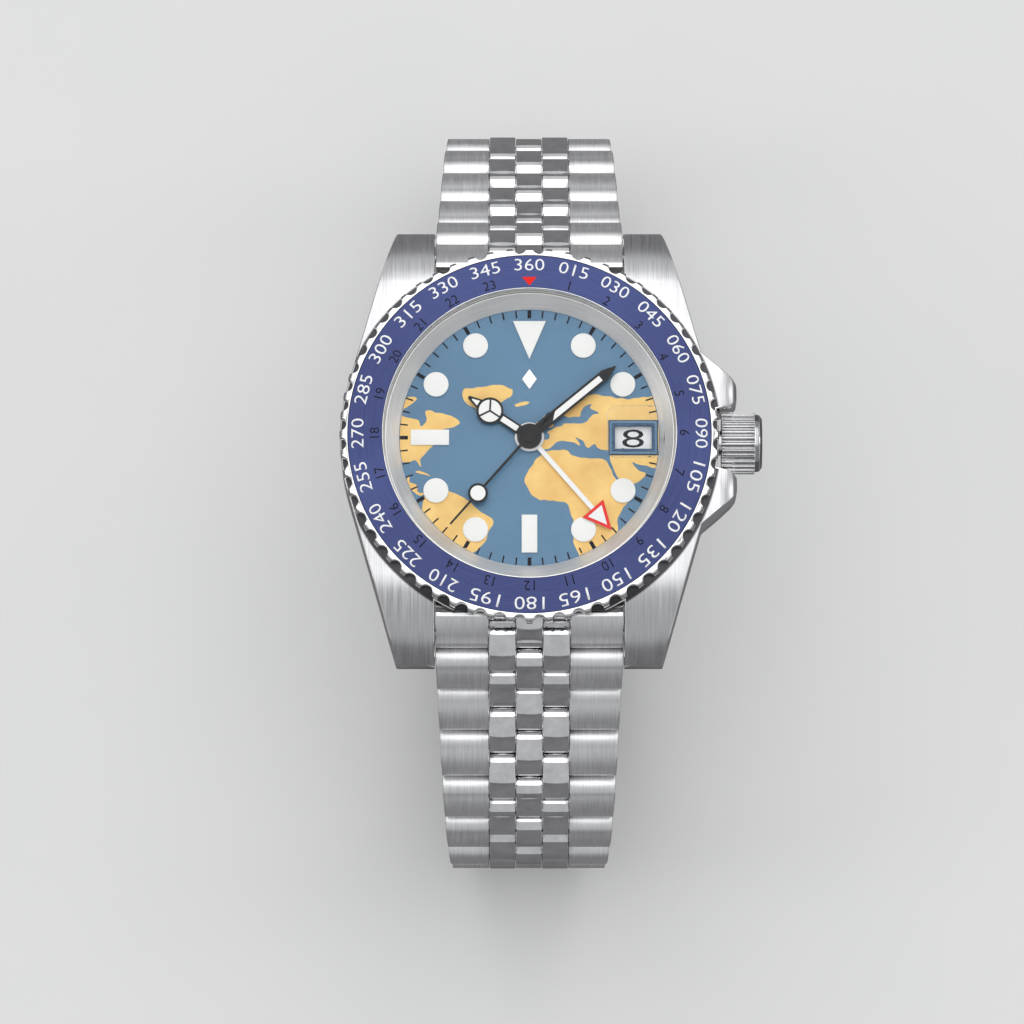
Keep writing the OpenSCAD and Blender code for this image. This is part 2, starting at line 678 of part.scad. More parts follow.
module balance_wheel() {
    color("goldenrod") at_dial() translate([balance_at[0], balance_at[1], 0]) {
        ring(balance_r, balance_r - 0.4, balance_z, lv(0.35));
        for (a = [0, 60, 120]) rotate(a) translate([-balance_r + 0.2, -0.2, balance_z + lv(0.05)])
            cube([2 * balance_r - 0.4, 0.4, lv(0.15)]);
        translate([0, 0, balance_z + lv(0.4)]) cylinder(r = 0.75, h = lv(0.2));
        rotate(lever_angle + 180) translate([0.9, 0, balance_z + lv(0.45)])
            cylinder(r = 0.1, h = lv(0.5), $fn = 24);
        arbor([0, 0], bridge_top + pivot_gap, plate_z - pivot_gap, 0.25);
        rotate(lever_angle + 180) translate([0.4, -0.15, balance_z + lv(0.35)]) cube([0.6, 0.3, lv(0.15)]);
    }
}
module hairspring() {
    turns = 7;
    steps = 24;
    r0 = 0.45;
    grow = 0.27;
    wire = 0.07;
    side = [for (i = [0 : turns * steps]) polar(r0 + grow * i / steps, i * 360 / steps)];
    back = [for (i = [turns * steps : -1 : 0]) polar(r0 + wire + grow * i / steps, i * 360 / steps)];
    color("steelblue") at_dial() translate([balance_at[0], balance_at[1], balance_z - lv(0.25)])
        linear_extrude(lv(0.15)) polygon(concat(side, back));
}
module balance_cock() {
    arm = balance_at - cock_foot;
    long = norm(arm);
    color("lightgray") at_dial() difference() {
        translate([cock_foot[0], cock_foot[1], 0]) {
            translate([0, 0, bridge_z]) {
                cylinder(r = 1.2, h = plate_z - bridge_z - seat);
                rotate(atan2(arm[1], arm[0])) translate([0, -1, 0]) cube([long, 2, bridge_top - bridge_z]);
            }
            translate([arm[0], arm[1], bridge_z]) cylinder(r = 1.4, h = bridge_top - bridge_z);
        }
        translate([balance_at[0], balance_at[1], bridge_z - 1]) cylinder(r = 0.3, h = 4, $fn = 32);
    }
}

// Winding rotor on its ball bearing
race_r = 1.35;
ball_r = 0.3;
rim_w = 2.2;
rotor_hub_r = 3.2;
module rotor() {
    color("gray") at_dial() difference() {
        union() {
            translate([0, 0, rotor_z]) intersection() {
                ring(rotor_r, rotor_r - rim_w, 0, rotor_t);
                translate([-rotor_r - 1, -rotor_r - 1, 0]) cube([2 * rotor_r + 2, rotor_r + 1, 2 * rotor_t]);
            }
            translate([0, 0, rotor_z + 0.3 * rotor_t]) intersection() {
                cylinder(r = rotor_r - rim_w + 0.2, h = 0.35 * rotor_t);
                translate([-rotor_r, -rotor_r, 0]) cube([2 * rotor_r, rotor_r + 0.5, rotor_t]);
            }
            translate([0, 0, rotor_z + 0.13 * rotor_t]) cylinder(r = rotor_hub_r, h = 0.7 * rotor_t);
        }
        translate([0, 0, rotor_z - 1]) cylinder(r = race_r + 2 * ball_r + running, h = 4);
        for (a = [225, 270, 315]) rotate(a) translate([(rotor_r - rim_w + rotor_hub_r) / 2, 0, rotor_z - 1])
            cylinder(r = 1.7, h = 4);
    }
}
module rotor_bearing() {
    color("lightgray") at_dial() {
        difference() {
            translate([0, 0, rotor_z]) cylinder(r = race_r - seat, h = bridge_z - rotor_z - seat);
            translate([-0.15, -1, rotor_z - 0.1]) cube([0.3, 2, 0.3]);
        }
        for (i = [0 : 6]) rotate(i * 360 / 7) translate([race_r + ball_r, 0, rotor_z + rotor_t / 2])
            sphere(r = ball_r - 0.01, $fn = 32);
    }
}

// Bracelet: links of three wide-row blocks and two narrow inner blocks on common pins
dome_half = half / 2 + link_r / sqrt(2);
dome_sag = link_r + link_dome - link_r / sqrt(2);
dome_big = (dome_half * dome_half + dome_sag * dome_sag) / (2 * dome_sag);
module link_side() {
    circle(r = link_r);
    translate([half, 0]) circle(r = link_r);
    translate([0, -link_r]) square([half, 2 * link_r]);
    intersection() {
        translate([half / 2, link_r + link_dome - dome_big]) circle(r = dome_big);
        translate([half / 2 - dome_half, 0]) square([2 * dome_half, 2 * link_r]);
    }
}
module block(x0, x1) {
    translate([x0, 0, 0]) along_x() linear_extrude(x1 - x0) link_side();
}
module pin(y, w) {
    translate([-w / 2 + 0.25, y, 0]) along_x() cylinder(r = pin_d / 2, h = w - 0.5, $fn = 32);
}
module pin_bore(y, w) {
    translate([-w / 2 - 1, y, 0]) along_x() cylinder(r = pin_d / 2 + running, h = w + 2, $fn = 32);
}
module wide_row(w0, w1) {
    difference() {
        intersection() {
            union() {
                block(-narrow, narrow);
                for (s = [0, 1]) mirror([s, 0, 0]) block(outer_from, w0 / 2 + 1);
            }
            translate([0, 0, -5]) linear_extrude(10) polygon([
                [-w0 / 2, -link_r], [w0 / 2, -link_r], [w1 / 2, half + link_r], [-w1 / 2, half + link_r]
            ]);
        }
        pin_bore(0, w0);
        pin_bore(half, w0);
    }
}
module narrow_row() {
    difference() {
        for (s = [0, 1]) mirror([s, 0, 0]) translate([0, half, 0])
            block(narrow + column_gap, narrow + column_gap + column_w);
        pin_bore(half, band_w);
        pin_bore(pitch, band_w);
    }
}
module at_link(n, side) {
    p = chain(n - 1);
    at_dial() rotate(side == 12 ? 0 : 180) translate([0, p[0], p[1]])
        rotate([-link_slopes[n - 1], 0, 0]) children();
}
module link(n, side) {
    w0 = band_at(n - 1);
    w1 = band_at(n);
    color("silver") at_link(n, side) {
        wide_row(w0, w1);
        narrow_row();
        pin(0, w1);
        pin(half, w1);
        if (n == link_count) pin(pitch, 2 * (narrow + column_gap + column_w) + 0.4);
    }
}

// End links, shaped to the case band and held between the lugs
end_wall = 0.35;
module end_link_side() {
    translate([lug_bar[0], -lug_bar[1]]) circle(r = link_r);
    polygon([
        [end_link_y + 0.1, -0.75], [end_link_y + 0.6, -0.8], [end_link_y + 1.5, -1.6],
        [end_link_y + 2.3, -2.7],
        [lug_bar[0] + link_r * cos(20), -lug_bar[1] + link_r * sin(20)],
        [lug_bar[0] + link_r * cos(-60), -lug_bar[1] + link_r * sin(-60)],
        [end_link_y + 0.1, -lug_bar[1] - 1.4]
    ]);
}
module end_link(side) {
    w = lug_gap - 0.2;
    color("silver") at_dial() rotate(side == 12 ? 0 : 180) {
        difference() {
            union() {
                translate([-narrow, 0, 0]) along_x() linear_extrude(2 * narrow) end_link_side();
                for (s = [0, 1]) mirror([s, 0, 0])
                    translate([outer_from, 0, 0]) along_x()
                        linear_extrude(w / 2 - outer_from) end_link_side();
                translate([-outer_from - 1, end_link_y + 0.1, -lug_bar[1] - 1.4])
                    cube([2 * outer_from + 2, end_wall, 3.4]);
            }
            translate([-20, lug_bar[0], -lug_bar[1]]) along_x()
                cylinder(r = bar_r + running, h = 40, $fn = 32);
        }
        difference() {
            translate([0, lug_bar[0], -lug_bar[1]]) rotate([-end_slope, 0, 0]) difference() {
                for (s = [0, 1]) mirror([s, 0, 0]) block(narrow + column_gap, narrow + column_gap + column_w);
                translate([-20, 0, 0]) along_x() cylinder(r = bar_r + running, h = 40, $fn = 32);
                pin_bore(half, band_w);
            }
            translate([-20, 0, -20]) cube([40, end_link_y + 0.1 + end_wall + seat, 40]);
        }
    }
}
module end_link_12() { end_link(12); }
module end_link_6() { end_link(6); }
module link_12_1() { link(1, 12); }
module link_12_2() { link(2, 12); }
module link_12_3() { link(3, 12); }
module link_12_4() { link(4, 12); }
module link_12_5() { link(5, 12); }
module link_12_6() { link(6, 12); }
module link_12_7() { link(7, 12); }
module link_12_8() { link(8, 12); }
module link_12_9() { link(9, 12); }
module link_6_1() { link(1, 6); }
module link_6_2() { link(2, 6); }
module link_6_3() { link(3, 6); }
module link_6_4() { link(4, 6); }
module link_6_5() { link(5, 6); }
module link_6_6() { link(6, 6); }
module link_6_7() { link(7, 6); }
module link_6_8() { link(8, 6); }
module link_6_9() { link(9, 6); }

// Folding clasp: cover, two blades and the safety latch
cover_end = clasp_pin_y - link_r - 0.4;
blade_pin = [cover_end - 2, cover_t + 1];
blade_pin_r = 0.4;
knuckle_r = 0.85;
inner_z = blade_pin[1] + knuckle_r + 2 * running;
fold_pin = [blade_pin[0] - blade_len, (blade_pin[1] + blade_t / 2 + inner_z) / 2];
latch_pin = [-cover_end + 0.9, 0.85];
latch_r = 0.7;
latch_tip = -9;
step_z = latch_t + 0.35;
module along(w) translate([-w / 2, 0, 0]) along_x() linear_extrude(w) children();
module pin_x(at, r, w) translate([-w / 2, at[0], at[1]]) along_x() cylinder(r = r, h = w, $fn = 32);
module clasp_cover() {
    inner_w = clasp_w - 2;
    color("silver") {
        difference() {
            union() {
                along(clasp_w) polygon([
                    [-cover_end + 1.9, step_z + 0.05], [latch_tip + 0.1, step_z], [latch_tip + 0.2, 0],
                    [cover_end - 5, 0], [cover_end - 1.5, 0.25], [cover_end, 0.9],
                    [cover_end, 2.6], [cover_end - 2, 3.3], [-cover_end + 2, 3.3], [-cover_end, 2.2],
                    [-cover_end + 0.3, step_z + 0.8], [-cover_end + 1.9, step_z + 0.75]
                ]);
                for (x = [-1, 1]) translate([x * (clasp_w / 2 - 1), 0, 0]) {
                    along(2) polygon([
                        [-cover_end + 1, step_z + 0.4], [-cover_end + 2.4, step_z + 0.1],
                        [-cover_end + 2.4, 2], [-cover_end + 0.2, 2]
                    ]);
                    pin_x(latch_pin, latch_r, 2);
                }
                for (x = [0, 1]) mirror([x, 0, 0]) translate([outer_from, 0, 0]) along_x()
                    linear_extrude(band_end_w / 2 - outer_from) cover_knuckle();
                translate([-narrow, 0, 0]) along_x() linear_extrude(2 * narrow) cover_knuckle();
            }
            translate([-inner_w / 2, -cover_end + 3, step_z + cover_t - 0.3])
                cube([inner_w, 2 * cover_end - 6, 5]);
            translate([-inner_w / 2, latch_tip + 1.2, cover_t]) cube([inner_w, cover_end - latch_tip, 5]);
            pin_x(blade_pin, blade_pin_r + running, clasp_w - 0.6);
            pin_x([-clasp_pin_y, clasp_pin_z], pin_d / 2 + running, clasp_w + 2);
            pin_x(latch_pin, 0.3 + running, clasp_w - 0.6);
        }
        pin_x(blade_pin, blade_pin_r, clasp_w - 0.7);
        pin_x(latch_pin, 0.3, clasp_w - 0.7);
    }
}
module cover_knuckle() {
    translate([-clasp_pin_y, clasp_pin_z]) circle(r = link_r);
    polygon([
        [-clasp_pin_y, clasp_pin_z + link_r], [-cover_end + 3.2, 3.3], [-cover_end + 3.2, 2],
        [-clasp_pin_y + 0.9, clasp_pin_z - 1.2]
    ]);
}
module clasp_blade_outer() {
    color("gainsboro") difference() {
        union() {
            pin_x(blade_pin, knuckle_r, blade_w);
            along(blade_w) polygon([
                [blade_pin[0], blade_pin[1] - blade_t / 2], [blade_pin[0], blade_pin[1] + blade_t / 2],
                [fold_pin[0] + 1.3, blade_pin[1] + blade_t / 2],
                [fold_pin[0] + 1.3, blade_pin[1] - blade_t / 2]
            ]);
            for (x = [-1, 1]) translate([x * (blade_w / 2 - 1.5), 0, 0]) {
                pin_x(fold_pin, knuckle_r, 3);
                along(3) polygon([
                    [fold_pin[0], fold_pin[1] - knuckle_r], [fold_pin[0] + 1.4, blade_pin[1] - blade_t / 2],
                    [fold_pin[0] + 1.4, blade_pin[1] + blade_t / 2 - 0.1], [fold_pin[0], fold_pin[1]]
                ]);
            }
        }
        pin_x(blade_pin, blade_pin_r + running, 30);
        pin_x(fold_pin, blade_pin_r + running, 30);
        translate([-1, fold_pin[0] + 6, 0]) cube([2, blade_len - 11, 5]);
    }
    color("gainsboro") pin_x(fold_pin, blade_pin_r, blade_w - 0.4);
}
module clasp_blade_inner() {
    color("gainsboro") difference() {
        union() {
            pin_x(fold_pin, knuckle_r, blade_w - 6.2);
            along(blade_w - 6.2) polygon([
                [fold_pin[0], fold_pin[1]], [fold_pin[0], fold_pin[1] + knuckle_r],
                [fold_pin[0] + 2, inner_z + blade_t], [fold_pin[0] + 2, inner_z]
            ]);
            along(blade_w) polygon([
                [fold_pin[0] + 1.4, inner_z + 0.02], [fold_pin[0] + 1.4, inner_z + blade_t],
                [clasp_pin_y - link_r - 0.35, inner_z + blade_t],
                [clasp_pin_y - link_r - 0.35, inner_z + 0.02]
            ]);
        }
        pin_x(fold_pin, blade_pin_r + running, 30);
        translate([-2, fold_pin[0] + 6, 0]) cube([4, blade_len - 10, 8]);
    }
}
module clasp_latch() {
    w = clasp_w - 4.3;
    color("silver") difference() {
        union() {
            pin_x(latch_pin, latch_r, w);
            along(w) polygon([
                [latch_pin[0], latch_pin[1] - latch_r], [latch_pin[0], latch_pin[1]],
                [latch_pin[0] + 1.2, latch_t + 0.15], [latch_tip, latch_t + 0.15], [latch_tip, 0.15]
            ]);
        }
        pin_x(latch_pin, 0.3 + running, 30);
    }
}

mid_case();
lug_spring_bars();
bezel_ring();
bezel_insert();
bezel_click_spring();
crystal();
date_magnifier();
gaskets();
rehaut_ring();
case_back();
back_crystal();
movement_holder();
crown_tube();
crown();
winding_stem();
winding_pinion();
dial();
hour_markers();
date_disc();
zone_hand();
hour_hand();
minute_hand();
second_hand();
main_plate();
train_bridge();
mainspring_barrel();
center_wheel();
third_wheel();
seconds_wheel();
escape_wheel();
pallet_fork();
balance_wheel();
hairspring();
balance_cock();
rotor();
rotor_bearing();
end_link_12();
end_link_6();
link_12_1();
link_12_2();
link_12_3();
link_12_4();
link_12_5();
link_12_6();
link_12_7();
link_12_8();
link_12_9();
link_6_1();
link_6_2();
link_6_3();
link_6_4();
link_6_5();
link_6_6();
link_6_7();
link_6_8();
link_6_9();
clasp_cover();
clasp_blade_outer();
clasp_blade_inner();
clasp_latch();
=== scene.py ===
"""Looks of the two-time-zone wrist watch, standing on its closed clasp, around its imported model."""
import json
import math
import bpy
from mathutils import Matrix, Vector, noise

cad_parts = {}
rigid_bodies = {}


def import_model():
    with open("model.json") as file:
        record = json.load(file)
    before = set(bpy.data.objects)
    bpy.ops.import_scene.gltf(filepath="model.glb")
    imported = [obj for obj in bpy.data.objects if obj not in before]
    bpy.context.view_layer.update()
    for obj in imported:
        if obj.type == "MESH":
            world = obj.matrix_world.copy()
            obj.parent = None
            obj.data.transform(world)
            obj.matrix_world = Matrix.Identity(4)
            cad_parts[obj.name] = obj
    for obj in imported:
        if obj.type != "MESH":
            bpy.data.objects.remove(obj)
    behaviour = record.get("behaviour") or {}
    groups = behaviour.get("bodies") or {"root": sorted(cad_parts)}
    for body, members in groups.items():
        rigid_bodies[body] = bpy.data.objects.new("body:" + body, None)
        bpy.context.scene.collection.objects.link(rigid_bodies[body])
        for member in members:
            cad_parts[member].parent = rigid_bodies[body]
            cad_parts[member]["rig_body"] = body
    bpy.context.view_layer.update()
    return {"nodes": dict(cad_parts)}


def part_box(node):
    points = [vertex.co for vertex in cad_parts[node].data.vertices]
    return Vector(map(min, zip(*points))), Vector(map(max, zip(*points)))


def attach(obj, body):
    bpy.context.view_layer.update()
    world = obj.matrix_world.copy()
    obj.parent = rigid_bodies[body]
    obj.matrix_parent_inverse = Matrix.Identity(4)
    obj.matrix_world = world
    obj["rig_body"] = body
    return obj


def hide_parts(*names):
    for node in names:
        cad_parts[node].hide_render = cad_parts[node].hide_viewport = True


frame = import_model()
nodes = frame["nodes"]


# ---- Floor, lamps and camera -------------------------------------------------------------
# A pale table under a long overhead soft box, with a fill from twelve o'clock.
# The camera looks at the dial from ten degrees off its normal, through a long lens.
mm = 0.001
dial_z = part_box("rehaut_ring")[0].z - 0.03 * mm
scene = bpy.context.scene
scene.view_settings.view_transform = "Standard"


def new_material(name, metal=0.0):
    """A new material and its Principled shader, metallic by this much."""
    material = bpy.data.materials.new(name)
    material.use_nodes = True
    shader = material.node_tree.nodes["Principled BSDF"]
    shader.inputs["Metallic"].default_value = metal
    return material, shader


def node_in(material, kind, **inputs):
    """Adds a node and sets or links its inputs: n0, n1 and so on by number, others by name with _ for a space."""
    node = material.node_tree.nodes.new("ShaderNode" + kind)
    for key, value in inputs.items():
        numbered = key[0] == "n" and key[1:].isdigit()
        socket = node.inputs[int(key[1:]) if numbered else key.replace("_", " ")]
        if isinstance(value, bpy.types.NodeSocket):
            material.node_tree.links.new(value, socket)
        else:
            socket.default_value = value
    return node


def straight_grain(material, cells, detail=4.0, turn=(0, 0, 0)):
    """Noise on the object's own coordinates, with this many cells a millimetre along x, y and z."""
    place = node_in(material, "TexCoord").outputs["Object"]
    scaled = node_in(material, "Mapping", Vector=place, Scale=[c / mm for c in cells], Rotation=turn)
    return node_in(material, "TexNoise", Vector=scaled.outputs[0], Scale=1.0, Detail=detail,
                   Roughness=0.6).outputs["Fac"]


GRAIN_LOW, GRAIN_HIGH = 0.25, 0.75


def finish(material, grain, dark, light, rough, bump=0.1, depth=0.01):
    """Lets a grain vary the colour, the roughness and the relief of a material's Principled shader."""
    shader = material.node_tree.nodes["Principled BSDF"]
    links = material.node_tree.links
    tone = node_in(material, "MapRange", Value=grain, n1=GRAIN_LOW, n2=GRAIN_HIGH).outputs[0]
    mix = material.node_tree.nodes.new("ShaderNodeMix")
    mix.data_type = "RGBA"
    links.new(tone, mix.inputs["Factor"])
    mix.inputs["A"].default_value = (*dark, 1)
    mix.inputs["B"].default_value = (*light, 1)
    links.new(mix.outputs["Result"], shader.inputs["Base Color"])
    roughness = node_in(material, "MapRange", Value=grain, n1=GRAIN_LOW, n2=GRAIN_HIGH, n3=rough[0], n4=rough[1])
    links.new(roughness.outputs[0], shader.inputs["Roughness"])
    relief = node_in(material, "Bump", Height=grain, Strength=bump, Distance=depth * mm)
    links.new(relief.outputs[0], shader.inputs["Normal"])
    return material


bpy.ops.object.select_all(action="DESELECT")
table_material, table_shader = new_material("pale_table")
finish(table_material, straight_grain(table_material, (0.02, 0.02, 0.02)), (0.66, 0.66, 0.66),
       (0.69, 0.69, 0.68), (0.55, 0.65), bump=0.02)
# Steel mirrors a darker table than the camera sees, as it would in a dim room
mirrored_table = node_in(table_material, "BsdfDiffuse", Color=(0.19, 0.19, 0.195, 1))
table_rays = node_in(table_material, "LightPath")
table_side = node_in(table_material, "MixShader", Fac=table_rays.outputs["Is Glossy Ray"])
table_links = table_material.node_tree.links
table_links.new(table_shader.outputs[0], table_side.inputs[1])
table_links.new(mirrored_table.outputs[0], table_side.inputs[2])
table_links.new(table_side.outputs[0], table_material.node_tree.nodes["Material Output"].inputs["Surface"])
TABLE_SIZE, TABLE_GAP = 6, 0.2 * mm
bpy.ops.mesh.primitive_grid_add(size=TABLE_SIZE, x_subdivisions=8, y_subdivisions=8, location=(0, 0, -TABLE_GAP))
table = bpy.context.object
table.name = "table"
table.data.materials.append(table_material)

# Strength of the room on matt surfaces, and in mirrors from the six o'clock side to the twelve o'clock side
ROOM, MIRRORED_ROOM = 0.65, (0.55, 0.68)
world = bpy.data.worlds.new("studio")
scene.world = world
world.use_nodes = True
sky = world.node_tree.nodes["Background"]
sky.inputs["Color"].default_value = (0.93, 0.94, 0.95, 1)
rays = node_in(world, "LightPath")
direction = node_in(world, "SeparateXYZ", Vector=node_in(world, "TexCoord").outputs["Generated"])
towards_twelve = node_in(world, "MapRange", Value=direction.outputs["Y"], n1=-0.4, n2=0.9,
                         n3=MIRRORED_ROOM[0], n4=MIRRORED_ROOM[1])
mirrored = node_in(world, "Mix", Factor=rays.outputs["Is Glossy Ray"], A=ROOM, B=towards_twelve.outputs[0])
seen = node_in(world, "Mix", Factor=rays.outputs["Is Camera Ray"], A=mirrored.outputs[0], B=1.0)
world.node_tree.links.new(seen.outputs[0], sky.inputs["Strength"])


LAMP_AIM = Vector((0, 0, 0.04))


def soft_box(name, place, size, power):
    """A rectangular lamp with its face towards the watch."""
    data = bpy.data.lights.new(name, "AREA")
    data.shape = "RECTANGLE"
    data.size, data.size_y = size
    data.energy = power
    lamp = bpy.data.objects.new(name, data)
    scene.collection.objects.link(lamp)
    lamp.location = place
    lamp.rotation_euler = (LAMP_AIM - Vector(place)).to_track_quat("-Z", "Y").to_euler()


soft_box("overhead_soft_box", (0, 0.40, 1.16), (1.1, 1.75), 8.8)
soft_box("nine_soft_box", (-0.95, -0.1, 0.40), (0.30, 1.1), 1.8)
soft_box("three_soft_box", (0.95, 0.1, 0.30), (0.30, 1.1), 1.6)

# The view's middle lies left of the dial's and below it
TILT = math.radians(10)
VIEW_LEFT, VIEW_LOW, CAMERA_DISTANCE = 1.84 * mm, 7.84 * mm, 0.9
camera_data = bpy.data.cameras.new("camera")
camera_data.lens = 300
camera_data.sensor_width = 36
camera_data.clip_start = 0.05
camera = bpy.data.objects.new("camera", camera_data)
scene.collection.objects.link(camera)
aim = Vector((-VIEW_LEFT, -VIEW_LOW * math.cos(TILT), dial_z - VIEW_LOW * math.sin(TILT)))
camera.location = aim + CAMERA_DISTANCE * Vector((0, -math.sin(TILT), math.cos(TILT)))
camera.rotation_euler = (TILT, 0, 0)
scene.camera = camera


# ---- Case band with its lugs and crown guards --------------------------------------------
# One block of steel, turned and milled. Its top is brushed lengthwise, and its flanks and
# edges are polished; the lugs carry the end links on spring bars.
def steel(name, cells, rough=(0.24, 0.38), dark=(0.50, 0.50, 0.51), light=(0.80, 0.80, 0.81), bump=0.3):
    """Brushed steel, with grain cells a millimetre along x, y and z."""
    material, _ = new_material(name, metal=1.0)
    return finish(material, straight_grain(material, cells), dark, light, rough, bump)


def polished(name, tone=0.86, rough=(0.05, 0.11)):
    """Mirror-polished steel with faint wiping marks."""
    material, _ = new_material(name, metal=1.0)
    return finish(material, straight_grain(material, (0.9, 0.5, 0.7)), (tone - 0.06,) * 3,
                  (tone,) * 3, rough, bump=0.02)


def alone(piece):
    """Leaves one piece selected and active."""
    bpy.ops.object.select_all(action="DESELECT")
    piece.select_set(True)
    bpy.context.view_layer.objects.active = piece


SHARP_ANGLE, SMOOTH_ANGLE = math.radians(32), math.radians(28)


def edged_copy(node, width, *materials, slot, segments=2):
    """Replaces a node by a copy of its mesh with rounded edges, which take the last material."""
    source = nodes[node]
    piece = bpy.data.objects.new(node + "_finished", source.data.copy())
    scene.collection.objects.link(piece)
    piece.data.materials.clear()
    for material in materials:
        piece.data.materials.append(material)
    for face in piece.data.polygons:
        face.material_index = 0
    alone(piece)
    bpy.ops.object.mode_set(mode="EDIT")
    bpy.ops.mesh.select_all(action="SELECT")
    bpy.ops.mesh.remove_doubles(threshold=0.002 * mm)
    bpy.ops.mesh.dissolve_limited(angle_limit=math.radians(0.3))
    bpy.ops.mesh.customdata_custom_splitnormals_clear()
    bpy.ops.object.mode_set(mode="OBJECT")
    if width:
        bevel = piece.modifiers.new("edges", "BEVEL")
        bevel.width = width * mm
        bevel.segments = segments
        bevel.limit_method = "ANGLE"
        bevel.angle_limit = SHARP_ANGLE
        bevel.use_clamp_overlap = False
        bevel.material = len(materials) - 1
        bpy.ops.object.modifier_apply(modifier="edges")
    bpy.ops.object.shade_smooth_by_angle(angle=SMOOTH_ANGLE)
    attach(piece, source["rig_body"])
    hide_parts(node)
    return piece


polished_steel = polished("polished_steel")
case_steel = steel("case_brushed_steel", (8, 0.15, 0.15), bump=0.12)
case_shader = case_steel.node_tree.nodes["Principled BSDF"]
brushed_colour = case_shader.inputs["Base Color"].links[0].from_socket
# Painted shade: the ledge under the bezel's rim is coloured near black, standing in for the shadow and dark
# reflection under the bezel
PAINTED_SHADE_R, PAINTED_SHADE_END_R = 20.15 * mm, 20.35 * mm
from_axis = node_in(case_steel, "VectorMath", n0=node_in(
    case_steel, "Mapping", Vector=node_in(case_steel, "TexCoord").outputs["Object"], Scale=(1, 1, 0)).outputs[0])
from_axis.operation = "LENGTH"
clear_of_painted_shade = node_in(case_steel, "MapRange", Value=from_axis.outputs["Value"], n1=PAINTED_SHADE_R, n2=PAINTED_SHADE_END_R)
ledge_painted_shade = case_steel.node_tree.nodes.new("ShaderNodeMix")
ledge_painted_shade.data_type = "RGBA"
# The near-black colour of the painted shade under the bezel
ledge_painted_shade.inputs["A"].default_value = (0.06, 0.06, 0.065, 1)
case_steel.node_tree.links.new(clear_of_painted_shade.outputs[0], ledge_painted_shade.inputs["Factor"])
case_steel.node_tree.links.new(brushed_colour, ledge_painted_shade.inputs["B"])
case_steel.node_tree.links.new(ledge_painted_shade.outputs["Result"], case_shader.inputs["Base Color"])
case_band = edged_copy("mid_case", 0.14, case_steel, polished_steel, slot="steel_brushed")
STEEP = 0.3
for face in case_band.data.polygons:
    if abs(face.normal.z) < STEEP:
        face.material_index = 1


# ---- Turning bezel -----------------------------------------------------------------------
# A polished steel ring with sixty scallops cut into its rim for grip. It snaps over the
# case's neck and clicks on a flat spring.
bezel_steel = polished("bezel_polished_steel", tone=0.74, rough=(0.08, 0.16))
edged_copy("bezel_ring", 0.07, bezel_steel, polished_steel, slot="steel_polished")


# ---- Coloured insert with its printed numbers --------------------------------------------
# A blue anodised ring let into the bezel. White three-figure numbers in steps of fifteen
# stand outside, black hours inside, and a red triangle marks twelve.
def round_grain(material, rings, rays, centre=(0, 0, 0), detail=3.0):
    """Noise that turns round a vertical axis: cells a millimetre outwards, and cells round."""
    place = node_in(material, "TexCoord").outputs["Object"]
    flat = node_in(material, "Mapping", Vector=place, Location=[-c for c in centre], Scale=(1, 1, 0))
    length = node_in(material, "VectorMath")
    length.operation = "LENGTH"
    direction = node_in(material, "VectorMath")
    direction.operation = "NORMALIZE"
    material.node_tree.links.new(flat.outputs[0], length.inputs[0])
    material.node_tree.links.new(flat.outputs[0], direction.inputs[0])
    around = node_in(material, "Mapping", Vector=direction.outputs[0], Scale=(rays, rays, rays))
    outward = node_in(material, "CombineXYZ", Z=node_in(
        material, "Math", n0=length.outputs["Value"], n1=rings / mm).outputs[0])
    outward.inputs["Z"].links[0].from_node.operation = "MULTIPLY"
    both = node_in(material, "VectorMath", n0=around.outputs[0], n1=outward.outputs[0])
    return node_in(material, "TexNoise", Vector=both.outputs[0], Scale=1.0, Detail=detail,
                   Roughness=0.6).outputs["Fac"]


insert_blue, insert_shader = new_material("anodised_blue", metal=0.9)
insert_shader.inputs["Anisotropic"].default_value = 0.9
insert_shader.inputs["Anisotropic Rotation"].default_value = 0.25
turning = node_in(insert_blue, "Tangent")
turning.direction_type = "RADIAL"
turning.axis = "Z"
insert_blue.node_tree.links.new(turning.outputs[0], insert_shader.inputs["Tangent"])
finish(insert_blue, round_grain(insert_blue, 9, 5), (0.050, 0.064, 0.180), (0.082, 0.102, 0.245), (0.40, 0.50),
       bump=0.06)


def dress(material, *names):
    """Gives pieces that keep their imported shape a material."""
    for name in names:
        nodes[name].material_slots[0].material = material


dress(insert_blue, "bezel_insert")


def ink(name, colour):
    """A printed colour with a slightly uneven film."""
    material, shader = new_material(name)
    shader.inputs["Specular IOR Level"].default_value = 0.2
    return finish(material, straight_grain(material, (5, 5, 5)), [c * 0.92 for c in colour], colour,
                  (0.39, 0.51), bump=0.05)


INSERT_OUT, INSERT_IN, INSERT_EDGE, INSERT_RISE = 19.1 * mm, 15.55 * mm, 2.33 * mm, 0.8 * mm


def insert_height(r):
    """Height of the insert's sloping face at a distance from its axis, over the floor."""
    return dial_z + INSERT_EDGE + INSERT_RISE * (INSERT_OUT - r) / (INSERT_OUT - INSERT_IN)


def printed(piece, body, height_at, lift=0.015, film=0.02):
    """Lays a flat mesh on a surface, gives the film its thickness and fixes it to a body."""
    for vertex in piece.data.vertices:
        vertex.co.z = height_at(vertex.co.xy.length) + lift * mm
    alone(piece)
    solid = piece.modifiers.new("film", "SOLIDIFY")
    solid.thickness = film * mm
    solid.offset = -1
    bpy.ops.object.modifier_apply(modifier="film")
    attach(piece, body)
    return piece


def joined(pieces, name):
    """Joins pieces into the first one."""
    bpy.ops.object.select_all(action="DESELECT")
    for piece in pieces:
        piece.select_set(True)
    bpy.context.view_layer.objects.active = pieces[0]
    if len(pieces) > 1:
        bpy.ops.object.join()
    pieces[0].name = name
    return pieces[0]


